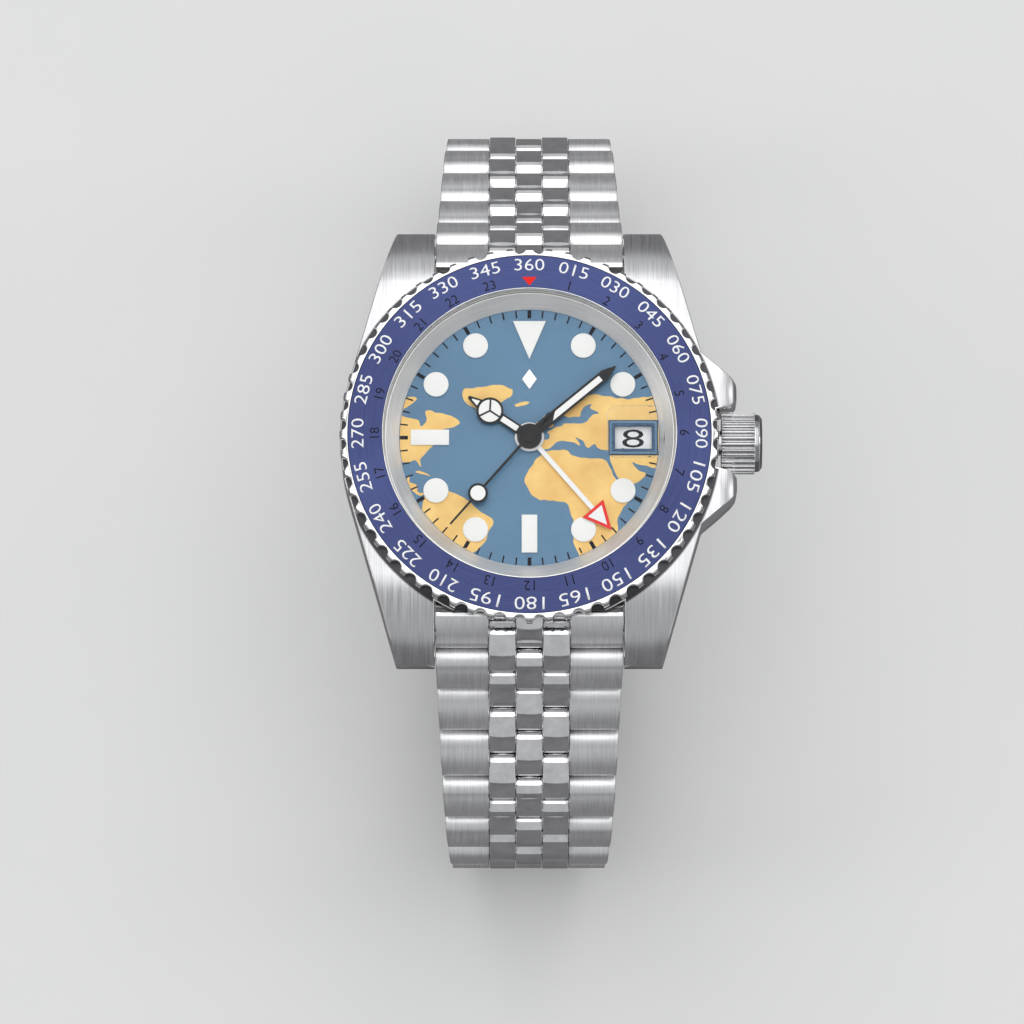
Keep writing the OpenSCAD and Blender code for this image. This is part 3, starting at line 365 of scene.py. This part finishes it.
def figures(text, height, r, turn, material, width=None, bold=0.0):
    """A number as a flat mesh, its top outwards, at a clock angle in degrees round the dial."""
    bpy.ops.object.select_all(action="DESELECT")
    bpy.ops.object.text_add()
    piece = bpy.context.object
    piece.data.body = text
    piece.data.resolution_u = 3
    piece.data.offset = bold
    bpy.ops.object.convert(target="MESH")
    xs = [v.co.x for v in piece.data.vertices]
    ys = [v.co.y for v in piece.data.vertices]
    up = height * mm / (max(ys) - min(ys))
    across = width * mm / (max(xs) - min(xs)) if width else up
    turn = math.radians(turn)
    for vertex in piece.data.vertices:
        sideways = (vertex.co.x - (max(xs) + min(xs)) / 2) * across
        outwards = (vertex.co.y - (max(ys) + min(ys)) / 2) * up + r * mm
        vertex.co = (outwards * math.sin(turn) + sideways * math.cos(turn),
                     outwards * math.cos(turn) - sideways * math.sin(turn), 0)
    piece.data.materials.clear()
    piece.data.materials.append(material)
    return piece


white_ink = ink("white_print", (0.93, 0.93, 0.94))
black_ink = ink("black_print", (0.012, 0.012, 0.02))
red_ink = ink("red_print", (0.78, 0.012, 0.006))
HOUR_STEP = 15
outer_numbers = [figures(f"{step * HOUR_STEP or 360:03d}", 1.32, 18.1, step * HOUR_STEP, white_ink,
                         width=3.15, bold=-0.004) for step in range(24)]
printed(joined(outer_numbers, "insert_outer_numbers"), "bezel", insert_height)
hours = [figures(str(hour), 1.0, 16.3, hour * HOUR_STEP, black_ink, bold=-0.004) for hour in range(1, 24)]
printed(joined(hours, "insert_hours"), "bezel", insert_height)


def outline_plate(name, outline, material):
    """A flat plate, face up, from an outline in millimetres: a disc whose rim points are pulled into place."""
    bpy.ops.object.select_all(action="DESELECT")
    bpy.ops.mesh.primitive_circle_add(vertices=len(outline), radius=mm, fill_type="NGON")
    piece = bpy.context.object
    piece.name = name
    for vertex, point in zip(piece.data.vertices, outline):
        vertex.co = (point[0] * mm, point[1] * mm, 0)
    alone(piece)
    bpy.ops.object.mode_set(mode="EDIT")
    bpy.ops.mesh.select_all(action="SELECT")
    bpy.ops.mesh.normals_make_consistent(inside=False)
    bpy.ops.mesh.quads_convert_to_tris()
    bpy.ops.object.mode_set(mode="OBJECT")
    if sum(face.normal.z * face.area for face in piece.data.polygons) < 0:
        piece.data.flip_normals()
    piece.data.materials.append(material)
    return piece


red_triangle = outline_plate("insert_triangle", [(-0.78, 16.72), (0.78, 16.72), (0, 15.74)], red_ink)
printed(red_triangle, "bezel", insert_height)


# ---- Crystal, date magnifier and back crystal --------------------------------------------
# Clear sapphire, coated against reflections. The magnifier is a small lens cemented on the
# crystal over the date; the back crystal shows the movement.
def clear_glass(name, shine, body=(0.02, 0.02, 0.025)):
    """Clear coated glass: see-through, with a weak mirror that grows at grazing angles."""
    material, shader = new_material(name)
    links = material.node_tree.links
    shader.inputs["Base Color"].default_value = (*body, 1)
    shader.inputs["IOR"].default_value = 1.6
    wiped = straight_grain(material, (0.25, 0.4, 0.25))
    links.new(node_in(material, "MapRange", Value=wiped, n3=0.01, n4=0.05).outputs[0], shader.inputs["Roughness"])
    through = node_in(material, "BsdfTransparent", Color=(1, 1, 1, 1))
    rim = node_in(material, "LayerWeight", Blend=0.35)
    amount = node_in(material, "Math", n0=rim.outputs["Fresnel"], n1=shine)
    amount.operation = "MULTIPLY"
    mix = node_in(material, "MixShader", Fac=amount.outputs[0])
    links.new(through.outputs[0], mix.inputs[1])
    links.new(shader.outputs[0], mix.inputs[2])
    links.new(mix.outputs[0], material.node_tree.nodes["Material Output"].inputs["Surface"])
    return material


sapphire = clear_glass("coated_sapphire", 0.16)
lens_glass = clear_glass("lens_sapphire", 0.45, body=(0.75, 0.78, 0.82))
dress(sapphire, "crystal", "back_crystal")
edged_copy("date_magnifier", 0.12, lens_glass, segments=3, slot="glass_clear")


# ---- Slanted ring between crystal and dial -----------------------------------------------
# A steel ring that holds the dial down and closes the gap to the crystal, brushed round.
ring_steel, _ = new_material("ring_brushed_steel", metal=0.7)
finish(ring_steel, round_grain(ring_steel, 7, 3), (0.74, 0.74, 0.74), (0.92, 0.92, 0.92), (0.34, 0.46), bump=0.12)
dress(ring_steel, "rehaut_ring")


# ---- Dial with its map, minute track and date frame --------------------------------------
# A brass disc lacquered steel blue, with a gold print of land on it and black minute marks
# at the edge. A raised blue frame stands round the date window.
dial_blue, dial_shader = new_material("dial_blue_lacquer", metal=0.15)
dial_shader.inputs["Coat Weight"].default_value = 0.3
dial_shader.inputs["Coat Roughness"].default_value = 0.2
finish(dial_blue, straight_grain(dial_blue, (0.07, 0.07, 0.07), detail=9), (0.052, 0.145, 0.255),
       (0.095, 0.225, 0.360), (0.34, 0.42), bump=0.03)
dress(dial_blue, "dial")

gold, _ = new_material("gold_print", metal=0.1)
finish(gold, straight_grain(gold, (0.28, 0.28, 0.28), detail=3), (0.76, 0.45, 0.13), (0.98, 0.68, 0.24),
       (0.42, 0.50), bump=0.25, depth=0.05)

# Rough outlines of land, as degrees of longitude and latitude
lands = {
    "north_america": [(-168, 66), (-156, 71), (-125, 70), (-108, 68), (-95, 69), (-82, 69), (-86, 65), (-94, 61),
                      (-92, 57), (-82, 55), (-80, 51), (-77, 55), (-78, 61), (-68, 59), (-62, 58), (-56, 53),
                      (-60, 50), (-68, 49), (-65, 45), (-70, 43), (-76, 36), (-81, 31), (-80, 25), (-83, 30),
                      (-90, 29), (-98, 27), (-110, 29), (-124, 41), (-130, 50), (-150, 60)],
    "central_america": [(-90, 17), (-87, 21), (-88, 16), (-83, 15), (-83, 10), (-77, 9), (-81, 7), (-89, 13)],
    "south_america": [(-78, 8), (-72, 12), (-61, 10), (-51, 5), (-45, -2), (-35, -6), (-39, -15), (-41, -22),
                      (-49, -27), (-57, -36), (-63, -41), (-67, -52), (-75, -50), (-72, -36), (-70, -19),
                      (-77, -13), (-81, -4), (-79, 2)],
    "greenland": [(-44, 60), (-53, 66), (-56, 73), (-44, 77), (-24, 76), (-24, 70), (-36, 65)],
    "africa": [(-6, 35), (10, 37), (12, 33), (20, 31), (33, 31), (37, 21), (43, 12), (51, 12), (46, 3),
               (40, -4), (40, -15), (33, -26), (26, -34), (19, -34), (15, -27), (12, -17), (13, -7), (9, 4),
               (-4, 5), (-9, 5), (-17, 14), (-16, 22), (-9, 32)],
    "madagascar": [(49, -12), (50, -17), (47, -25), (44, -22), (45, -16)],
    "europe_asia": [(-9, 37), (-9, 43), (-2, 43), (-1, 46), (-4, 48), (3, 51), (8, 53), (21, 53), (23, 57),
                    (30, 60), (23, 62), (25, 66), (17, 62), (17, 57), (12, 57), (6, 58), (6, 62), (12, 66),
                    (20, 70), (30, 71), (41, 68), (55, 69), (68, 71), (74, 60), (74, 24), (66, 25), (56, 26),
                    (49, 30), (52, 24), (59, 22), (52, 16), (44, 13), (39, 21), (35, 30), (36, 36), (27, 37),
                    (27, 41), (22, 37), (19, 42), (13, 45), (17, 39), (11, 42), (3, 42), (-1, 37)],
    "britain": [(-5, 50), (1, 51), (-1, 55), (-3, 58), (-6, 57), (-3, 54)],
    "ireland": [(-10, 52), (-6, 52), (-6, 55), (-10, 54)],
    "iceland": [(-24, 65), (-14, 66), (-16, 64), (-22, 63)],
    "cuba": [(-85, 22), (-80, 23), (-74, 20), (-79, 21)],
}
MAP_MIDDLE, MAP_SCALE, MAP_R = (-14, 44), 0.172, 13.68
COAST_STEP, COAST_WOBBLE = 0.14, 0.22


def on_dial(lon, lat):
    """Places a point of the globe on the dial, in millimetres."""
    return Vector(((lon - MAP_MIDDLE[0]) * MAP_SCALE, (lat - MAP_MIDDLE[1]) * MAP_SCALE, 0))


def smooth_coast(points):
    """Rounds an outline off by cutting its corners, puts points close along it and roughens it a little."""
    for _ in range(2):
        points = [p.lerp(q, t) for p, q in zip(points, points[1:] + points[:1]) for t in (0.2, 0.8)]
    dense = []
    for p, q in zip(points, points[1:] + points[:1]):
        steps = max(1, int((q - p).length / COAST_STEP))
        dense += [p.lerp(q, i / steps) for i in range(steps)]
    dense = [p + COAST_WOBBLE * noise.noise_vector(p * 1.1).to_2d().to_3d() for p in dense]
    return [p if p.length < MAP_R else p * (MAP_R / p.length) for p in dense]


def dial_height(r):
    """Height of the dial's flat face over the floor, the same at any distance from its axis."""
    return dial_z


# Seeded, so that the coasts come out the same each time
noise.seed_set(1)
land = []
for name, coast in lands.items():
    outline = smooth_coast([on_dial(*point) for point in coast])
    if min(p.length for p in outline) < MAP_R - 0.3:
        land.append(outline_plate("land_" + name, outline, gold))
land_print = joined(land, "dial_land")

# The print is cut out under the frame of the date window
FRAME_X, CUT_LENGTH, CUT_WIDTH = 10.95 * mm, 4.3 * mm, 2.9 * mm
alone(land_print)
bpy.ops.object.mode_set(mode="EDIT")
for place, across in (((FRAME_X - CUT_LENGTH / 2, 0, 0), (1, 0, 0)), ((FRAME_X + CUT_LENGTH / 2, 0, 0), (1, 0, 0)),
                      ((FRAME_X, -CUT_WIDTH / 2, 0), (0, 1, 0)), ((FRAME_X, CUT_WIDTH / 2, 0), (0, 1, 0))):
    bpy.ops.mesh.select_all(action="SELECT")
    bpy.ops.mesh.bisect(plane_co=place, plane_no=across, threshold=1e-7)
bpy.ops.mesh.select_all(action="DESELECT")
bpy.ops.object.mode_set(mode="OBJECT")
for face in land_print.data.polygons:
    face.select = abs(face.center.x - FRAME_X) < CUT_LENGTH / 2 and abs(face.center.y) < CUT_WIDTH / 2
bpy.ops.object.mode_set(mode="EDIT")
bpy.ops.mesh.delete(type="FACE")
bpy.ops.object.mode_set(mode="OBJECT")
printed(land_print, "case", dial_height, lift=0.01, film=0.02)


def copies_round(piece, angles):
    """Copies a piece round the dial's axis, each copy with its own mesh, and joins them."""
    made = []
    for angle in angles:
        copy = piece.copy()
        copy.data = piece.data.copy()
        copy.data.transform(Matrix.Rotation(-math.radians(angle), 4, "Z"))
        scene.collection.objects.link(copy)
        made.append(copy)
    bpy.data.objects.remove(piece)
    return made


def mark(r0, r1, width):
    """The outline of a straight mark at twelve, from one distance to another."""
    return [(-width / 2, r0), (width / 2, r0), (width / 2, r1), (-width / 2, r1)]


# The marks stop short of the date's frame, at three
minute = outline_plate("minute", mark(12.9, MAP_R, 0.16), black_ink)
fifth = outline_plate("fifth", mark(12.82, MAP_R, 0.40), black_ink)
marks = copies_round(minute, [6 * i for i in range(60) if i % 5 and i not in (14, 16)])
marks += copies_round(fifth, [30 * i for i in range(12) if i != 3])
printed(joined(marks, "minute_track"), "case", dial_height, lift=0.02, film=0.02)

bpy.ops.object.select_all(action="DESELECT")
bpy.ops.mesh.primitive_torus_add(major_segments=4, minor_segments=4)
date_frame = bpy.context.object
date_frame.name = "date_frame"
# Length, width and height of the frame's four corners, from its foot outside to its foot in the window
frame_steps = [(5.3, 3.85, 0.0), (4.46, 3.0, 0.225), (3.87, 2.42, 0.225), (3.87, 2.42, 0.0)]
for i, vertex in enumerate(date_frame.data.vertices):
    sign_x, sign_y = ((1, -1), (1, 1), (-1, 1), (-1, -1))[i // 4]
    length, width, height = frame_steps[i % 4]
    vertex.co = (FRAME_X + sign_x * length / 2 * mm, sign_y * width / 2 * mm, dial_z + height * mm)
frame_blue, _ = new_material("frame_dark_blue", metal=0.6)
finish(frame_blue, straight_grain(frame_blue, (0.8, 3, 3)), (0.020, 0.050, 0.105), (0.045, 0.095, 0.175),
       (0.25, 0.35), bump=0.03)
date_frame.data.materials.append(frame_blue)
alone(date_frame)
edges = date_frame.modifiers.new("edges", "BEVEL")
edges.width = 0.05 * mm
edges.segments = 2
bpy.ops.object.modifier_apply(modifier="edges")
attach(date_frame, "case")


# ---- Hour markers and rhombus ------------------------------------------------------------
# Luminous blocks fixed to the dial: a triangle, two bars and eight dots, matt white.
# The small plain rhombus over the hands is bare polished steel.
lume, _ = new_material("luminous_white")
finish(lume, straight_grain(lume, (6, 6, 6), detail=6), (0.88, 0.89, 0.87), (0.97, 0.97, 0.95), (0.5, 0.7),
       bump=0.12)
edged_copy("hour_markers", 0.05, lume, slot="lume_white")

RHOMBUS_TOP = 0.26 * mm
rhombus = outline_plate("emblem_face", [(0, 7.2), (0.68, 6.25), (0, 5.3), (-0.68, 6.25)], polished_steel)
printed(rhombus, "case", lambda r: dial_z + RHOMBUS_TOP, lift=0.01, film=0.02)


# ---- Date disc ---------------------------------------------------------------------------
# A white ring under the dial, turned a step each night by the movement, printed with the
# days. One number shows in the window.
date_white, _ = new_material("date_disc_white")
finish(date_white, straight_grain(date_white, (0.35, 0.35, 0.35)), (0.93, 0.93, 0.94), (0.99, 0.99, 0.99),
       (0.45, 0.6), bump=0.02)
dress(date_white, "date_disc")
date_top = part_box("date_disc")[1].z
DATE_R, SHOWN_DAY, DAYS = 10.93, 8, 31


def date_number(day):
    """One day as printed on the disc, upright when it stands at three o'clock."""
    piece = figures(str(day), 1.95, 0, 0, black_ink, width=2.3 if day < 10 else 3.0, bold=-0.004)
    piece.data.transform(Matrix.Translation((DATE_R * mm, 0, 0)))
    piece.data.transform(Matrix.Rotation(math.radians((day - SHOWN_DAY) * 360 / DAYS), 4, "Z"))
    return piece


days = joined([date_number(day) for day in range(1, DAYS + 1)], "date_numbers")
printed(days, "date", lambda r: date_top, lift=0.008, film=0.01)


# ---- Hands -------------------------------------------------------------------------------
# Stamped steel hands on nested tubes, painted gloss black or white, with luminous fillings
# in their frames. The second-zone hand ends in a red-edged triangle.
hand_black, hand_shader = new_material("gloss_black_paint")
hand_shader.inputs["Coat Weight"].default_value = 0.1
hand_shader.inputs["Coat Roughness"].default_value = 0.15
hand_shader.inputs["Specular IOR Level"].default_value = 0.25
finish(hand_black, straight_grain(hand_black, (2, 2, 2)), (0.006, 0.006, 0.007), (0.013, 0.013, 0.015),
       (0.30, 0.40), bump=0.0)
hand_white, _ = new_material("white_paint")
finish(hand_white, straight_grain(hand_white, (2, 2, 2)), (0.84, 0.84, 0.85), (0.93, 0.93, 0.94), (0.3, 0.4),
       bump=0.03)
red_paint, _ = new_material("red_paint")
finish(red_paint, straight_grain(red_paint, (3, 3, 3)), (0.74, 0.010, 0.006), (0.86, 0.014, 0.008), (0.4, 0.5),
       bump=0.02)
for node in ("hour_hand", "minute_hand", "second_hand"):
    edged_copy(node, 0, hand_black, slot="hand_black")
edged_copy("zone_hand", 0, hand_white, slot="lume_white")

# Where each hand points, in degrees from twelve, and how high its face lies over the dial
HAND_TURN = {"hours": 303.5, "minutes": 50.5, "seconds": 221.4, "second_zone": 139.0}
HAND_TOP = {"hours": 0.75, "minutes": 1.01, "seconds": 1.29, "second_zone": 0.50}


def on_hand(body, name, outline, material, lift=0.006, film=0.02):
    """A filling or a painted shape on a hand's face, drawn with the hand at twelve."""
    piece = outline_plate(name, outline, material)
    piece.data.transform(Matrix.Rotation(-math.radians(HAND_TURN[body]), 4, "Z"))
    return printed(piece, body, lambda r: dial_z + HAND_TOP[body] * mm, lift, film)


def arc(centre, r, start, end, count):
    """Points on an arc, clockwise from twelve, in degrees."""
    turns = [math.radians(start + (end - start) * i / (count - 1)) for i in range(count)]
    return [(centre[0] + r * math.sin(turn), centre[1] + r * math.cos(turn)) for turn in turns]


# The hour hand's ring holds three fillings between its spokes
DISC_Y, FILLING_R, HALF_SPOKE, SECTOR = 5.0, 1.19, 0.09, 120
trim = math.degrees(math.asin(HALF_SPOKE / FILLING_R))
apex = HALF_SPOKE / math.sin(math.radians(SECTOR / 2))
for i in range(3):
    turn = i * SECTOR
    corner = (math.sin(math.radians(turn)) * apex, DISC_Y + math.cos(math.radians(turn)) * apex)
    rim = arc((0, DISC_Y), FILLING_R, turn - SECTOR / 2 + trim, turn + SECTOR / 2 - trim, 18)
    on_hand("hours", f"hour_filling_{i + 1}", [corner] + rim, lume, lift=-0.045, film=0.03)
on_hand("hours", "hour_shaft_filling", mark(1.5, 3.5, 0.6), lume)
on_hand("hours", "hour_tip_filling", [(-0.3, 6.45), (0.3, 6.45), (0.05, 7.25), (-0.05, 7.25)], lume)
on_hand("minutes", "minute_filling", [(-0.32, 3.75), (0.32, 2.95), (0.32, 9.75), (-0.32, 9.75)], lume)
on_hand("seconds", "second_filling", arc((0, 8.2), 0.8, 0, 345, 24), lume)

# The triangle's red edges have one width, round the middle of its inscribed circle
ZONE_TIP, ZONE_LENGTH, ZONE_HALF, ZONE_EDGE = 13.2, 3.05, 1.475, 0.33
outer = [Vector(point) for point in ((-ZONE_HALF, ZONE_TIP - ZONE_LENGTH), (0, ZONE_TIP),
                                     (ZONE_HALF, ZONE_TIP - ZONE_LENGTH))]
side = (outer[1] - outer[0]).length
middle = (outer[0] * side + outer[1] * 2 * ZONE_HALF + outer[2] * side) / (2 * side + 2 * ZONE_HALF)
shrink = 1 - ZONE_EDGE * (2 * side + 2 * ZONE_HALF) / (2 * ZONE_HALF * ZONE_LENGTH)
inner = [middle + (corner - middle) * shrink for corner in outer]
for i, name in enumerate(("left", "right", "base")):
    j = (i + 1) % 3
    on_hand("second_zone", "zone_edge_" + name, [outer[i], outer[j], inner[j], inner[i]], red_paint)


# ---- Crown, stem, tube and pinion --------------------------------------------------------
# A fluted steel crown with a polished end, screwed on the winding stem, which runs through
# the tube into the movement.
# Painted shade: the crown's steel is coloured darker than the case's, standing in for the dark reflections in its
# flutes
crown_metal_painted_shade = steel("crown_steel_painted_shade", (3, 3, 3), rough=(0.14, 0.24), dark=(0.28, 0.28, 0.29),
                    light=(0.42, 0.42, 0.43), bump=0.06)
edged_copy("crown", 0.05, crown_metal_painted_shade, polished_steel, slot="steel_polished")
stem_steel = steel("turned_steel", (12, 1, 1), rough=(0.2, 0.3), bump=0.1)
dress(stem_steel, "crown_tube", "winding_stem", "lug_spring_bars")


# ---- End links and bracelet links --------------------------------------------------------
# Folded-form solid links in five columns on common pins. The outer columns are brushed
# lengthwise; the three middle columns and all edges are polished.
COLUMN_EDGE = 4.28 * mm
link_steel, link_shader = new_material("link_steel", metal=1.0)
outer_grain = straight_grain(link_steel, (8, 0.3, 0.3))
place = node_in(link_steel, "TexCoord").outputs["Object"]
distance = node_in(link_steel, "Math", n0=node_in(link_steel, "SeparateXYZ", Vector=place).outputs["X"])
distance.operation = "ABSOLUTE"
brushed_part = node_in(link_steel, "Math", n0=distance.outputs[0], n1=COLUMN_EDGE)
brushed_part.operation = "GREATER_THAN"
wiping = straight_grain(link_steel, (0.7, 0.7, 0.7))


def either(material, polished_value, brushed_value, factor):
    """Takes one value on the polished columns and another on the brushed ones."""
    mix = material.node_tree.nodes.new("ShaderNodeMix")
    mix.data_type = "FLOAT"
    links = material.node_tree.links
    links.new(factor, mix.inputs["Factor"])
    for socket, value in ((mix.inputs["A"], polished_value), (mix.inputs["B"], brushed_value)):
        if isinstance(value, bpy.types.NodeSocket):
            links.new(value, socket)
        else:
            socket.default_value = value
    return mix.outputs["Result"]


grain_here = either(link_steel, wiping, outer_grain, brushed_part.outputs[0])
finish(link_steel, grain_here, (0.70, 0.70, 0.71), (0.93, 0.93, 0.94), (0.38, 0.50), bump=0.2)
rough_brushed = link_shader.inputs["Roughness"].links[0].from_socket
rough_polished = node_in(link_steel, "MapRange", Value=wiping, n3=0.05, n4=0.12).outputs[0]
link_steel.node_tree.links.new(either(link_steel, rough_polished, rough_brushed, brushed_part.outputs[0]),
                               link_shader.inputs["Roughness"])
relief_node = link_shader.inputs["Normal"].links[0].from_node
link_steel.node_tree.links.new(either(link_steel, 0.02, 0.2, brushed_part.outputs[0]),
                               relief_node.inputs["Strength"])

LINK_ROWS = 9
for strand in ("12", "6"):
    edged_copy(f"end_link_{strand}", 0.09, link_steel, polished_steel, slot="steel_brushed")
    for row in range(1, LINK_ROWS + 1):
        edged_copy(f"link_{strand}_{row}", 0.09, link_steel, polished_steel, slot="steel_brushed")


# ---- Folding clasp -----------------------------------------------------------------------
# A pressed steel cover over two folding blades, with a safety latch. All are brushed
# lengthwise, and every edge is broken and polished.
cover_steel = steel("clasp_brushed_steel", (7, 0.15, 7), bump=0.15)
blade_steel = steel("blade_steel", (6, 0.15, 6), rough=(0.24, 0.36), bump=0.12)
edged_copy("clasp_cover", 0.12, cover_steel, polished_steel, slot="steel_brushed")
edged_copy("clasp_latch", 0.12, cover_steel, polished_steel, slot="steel_brushed")
edged_copy("clasp_blade_outer", 0.08, blade_steel, polished_steel, slot="steel_brushed")
edged_copy("clasp_blade_inner", 0.08, blade_steel, polished_steel, slot="steel_brushed")


# ---- Case back, seals and inner rings ----------------------------------------------------
# The back screws into the case with a window in it; six slots take the key. White nylon
# seals and a holder ring keep the movement still and dry.
back_steel, _ = new_material("back_turned_steel", metal=1.0)
finish(back_steel, round_grain(back_steel, 6, 2), (0.55, 0.55, 0.56), (0.78, 0.78, 0.79), (0.2, 0.32), bump=0.15)
edged_copy("case_back", 0.08, back_steel, polished_steel, slot="steel_brushed")
nylon, _ = new_material("white_nylon")
finish(nylon, straight_grain(nylon, (4, 4, 4)), (0.70, 0.70, 0.67), (0.82, 0.82, 0.79), (0.4, 0.55), bump=0.1)
dress(nylon, "gaskets", "movement_holder")
spring_steel = steel("spring_steel", (6, 6, 6), rough=(0.2, 0.3), bump=0.05)
dress(spring_steel, "bezel_click_spring")


# ---- Movement ----------------------------------------------------------------------------
# Nickel-plated brass plates with slanting stripes, gilt wheels, a blued hairspring, and a
# steel rotor on a ball bearing. Screws hold the bridge and the cock on the main plate.
STRIPE_WIDTH, STRIPE_TURN = 2.2 * mm, math.radians(45)
nickel, _ = new_material("striped_nickel", metal=1.0)
place = node_in(nickel, "TexCoord").outputs["Object"]
turned = node_in(nickel, "Mapping", Vector=place, Rotation=(0, 0, STRIPE_TURN))
stripes = node_in(nickel, "TexWave", Vector=turned.outputs[0], Scale=1 / STRIPE_WIDTH / 20, Distortion=0.15)
stripes.wave_profile = "SAW"
fine = straight_grain(nickel, (9, 0.5, 2), turn=(0, 0, STRIPE_TURN))
stripe_sum = node_in(nickel, "Math", n0=stripes.outputs["Fac"], n1=fine)
finish(nickel, stripe_sum.outputs[0], (0.50, 0.50, 0.51), (0.78, 0.78, 0.79), (0.2, 0.4), bump=0.15)
dress(nickel, "main_plate", "train_bridge", "balance_cock")
gilt, _ = new_material("gilt_brass", metal=1.0)
finish(gilt, straight_grain(gilt, (5, 5, 5)), (0.60, 0.42, 0.16), (0.83, 0.62, 0.27), (0.18, 0.32), bump=0.08)
dress(gilt, "winding_pinion", "mainspring_barrel", "center_wheel", "third_wheel", "seconds_wheel",
      "escape_wheel", "balance_wheel")
blued, _ = new_material("blued_steel", metal=1.0)
finish(blued, straight_grain(blued, (4, 4, 4)), (0.02, 0.05, 0.30), (0.06, 0.12, 0.50), (0.15, 0.25), bump=0.03)
dress(blued, "hairspring")
dress(spring_steel, "pallet_fork", "rotor_bearing")
rotor_steel, _ = new_material("rotor_steel", metal=1.0)
finish(rotor_steel, round_grain(rotor_steel, 5, 3), (0.50, 0.50, 0.51), (0.74, 0.74, 0.75), (0.2, 0.34),
       bump=0.15)
edged_copy("rotor", 0.06, rotor_steel, polished_steel, slot="movement_steel")
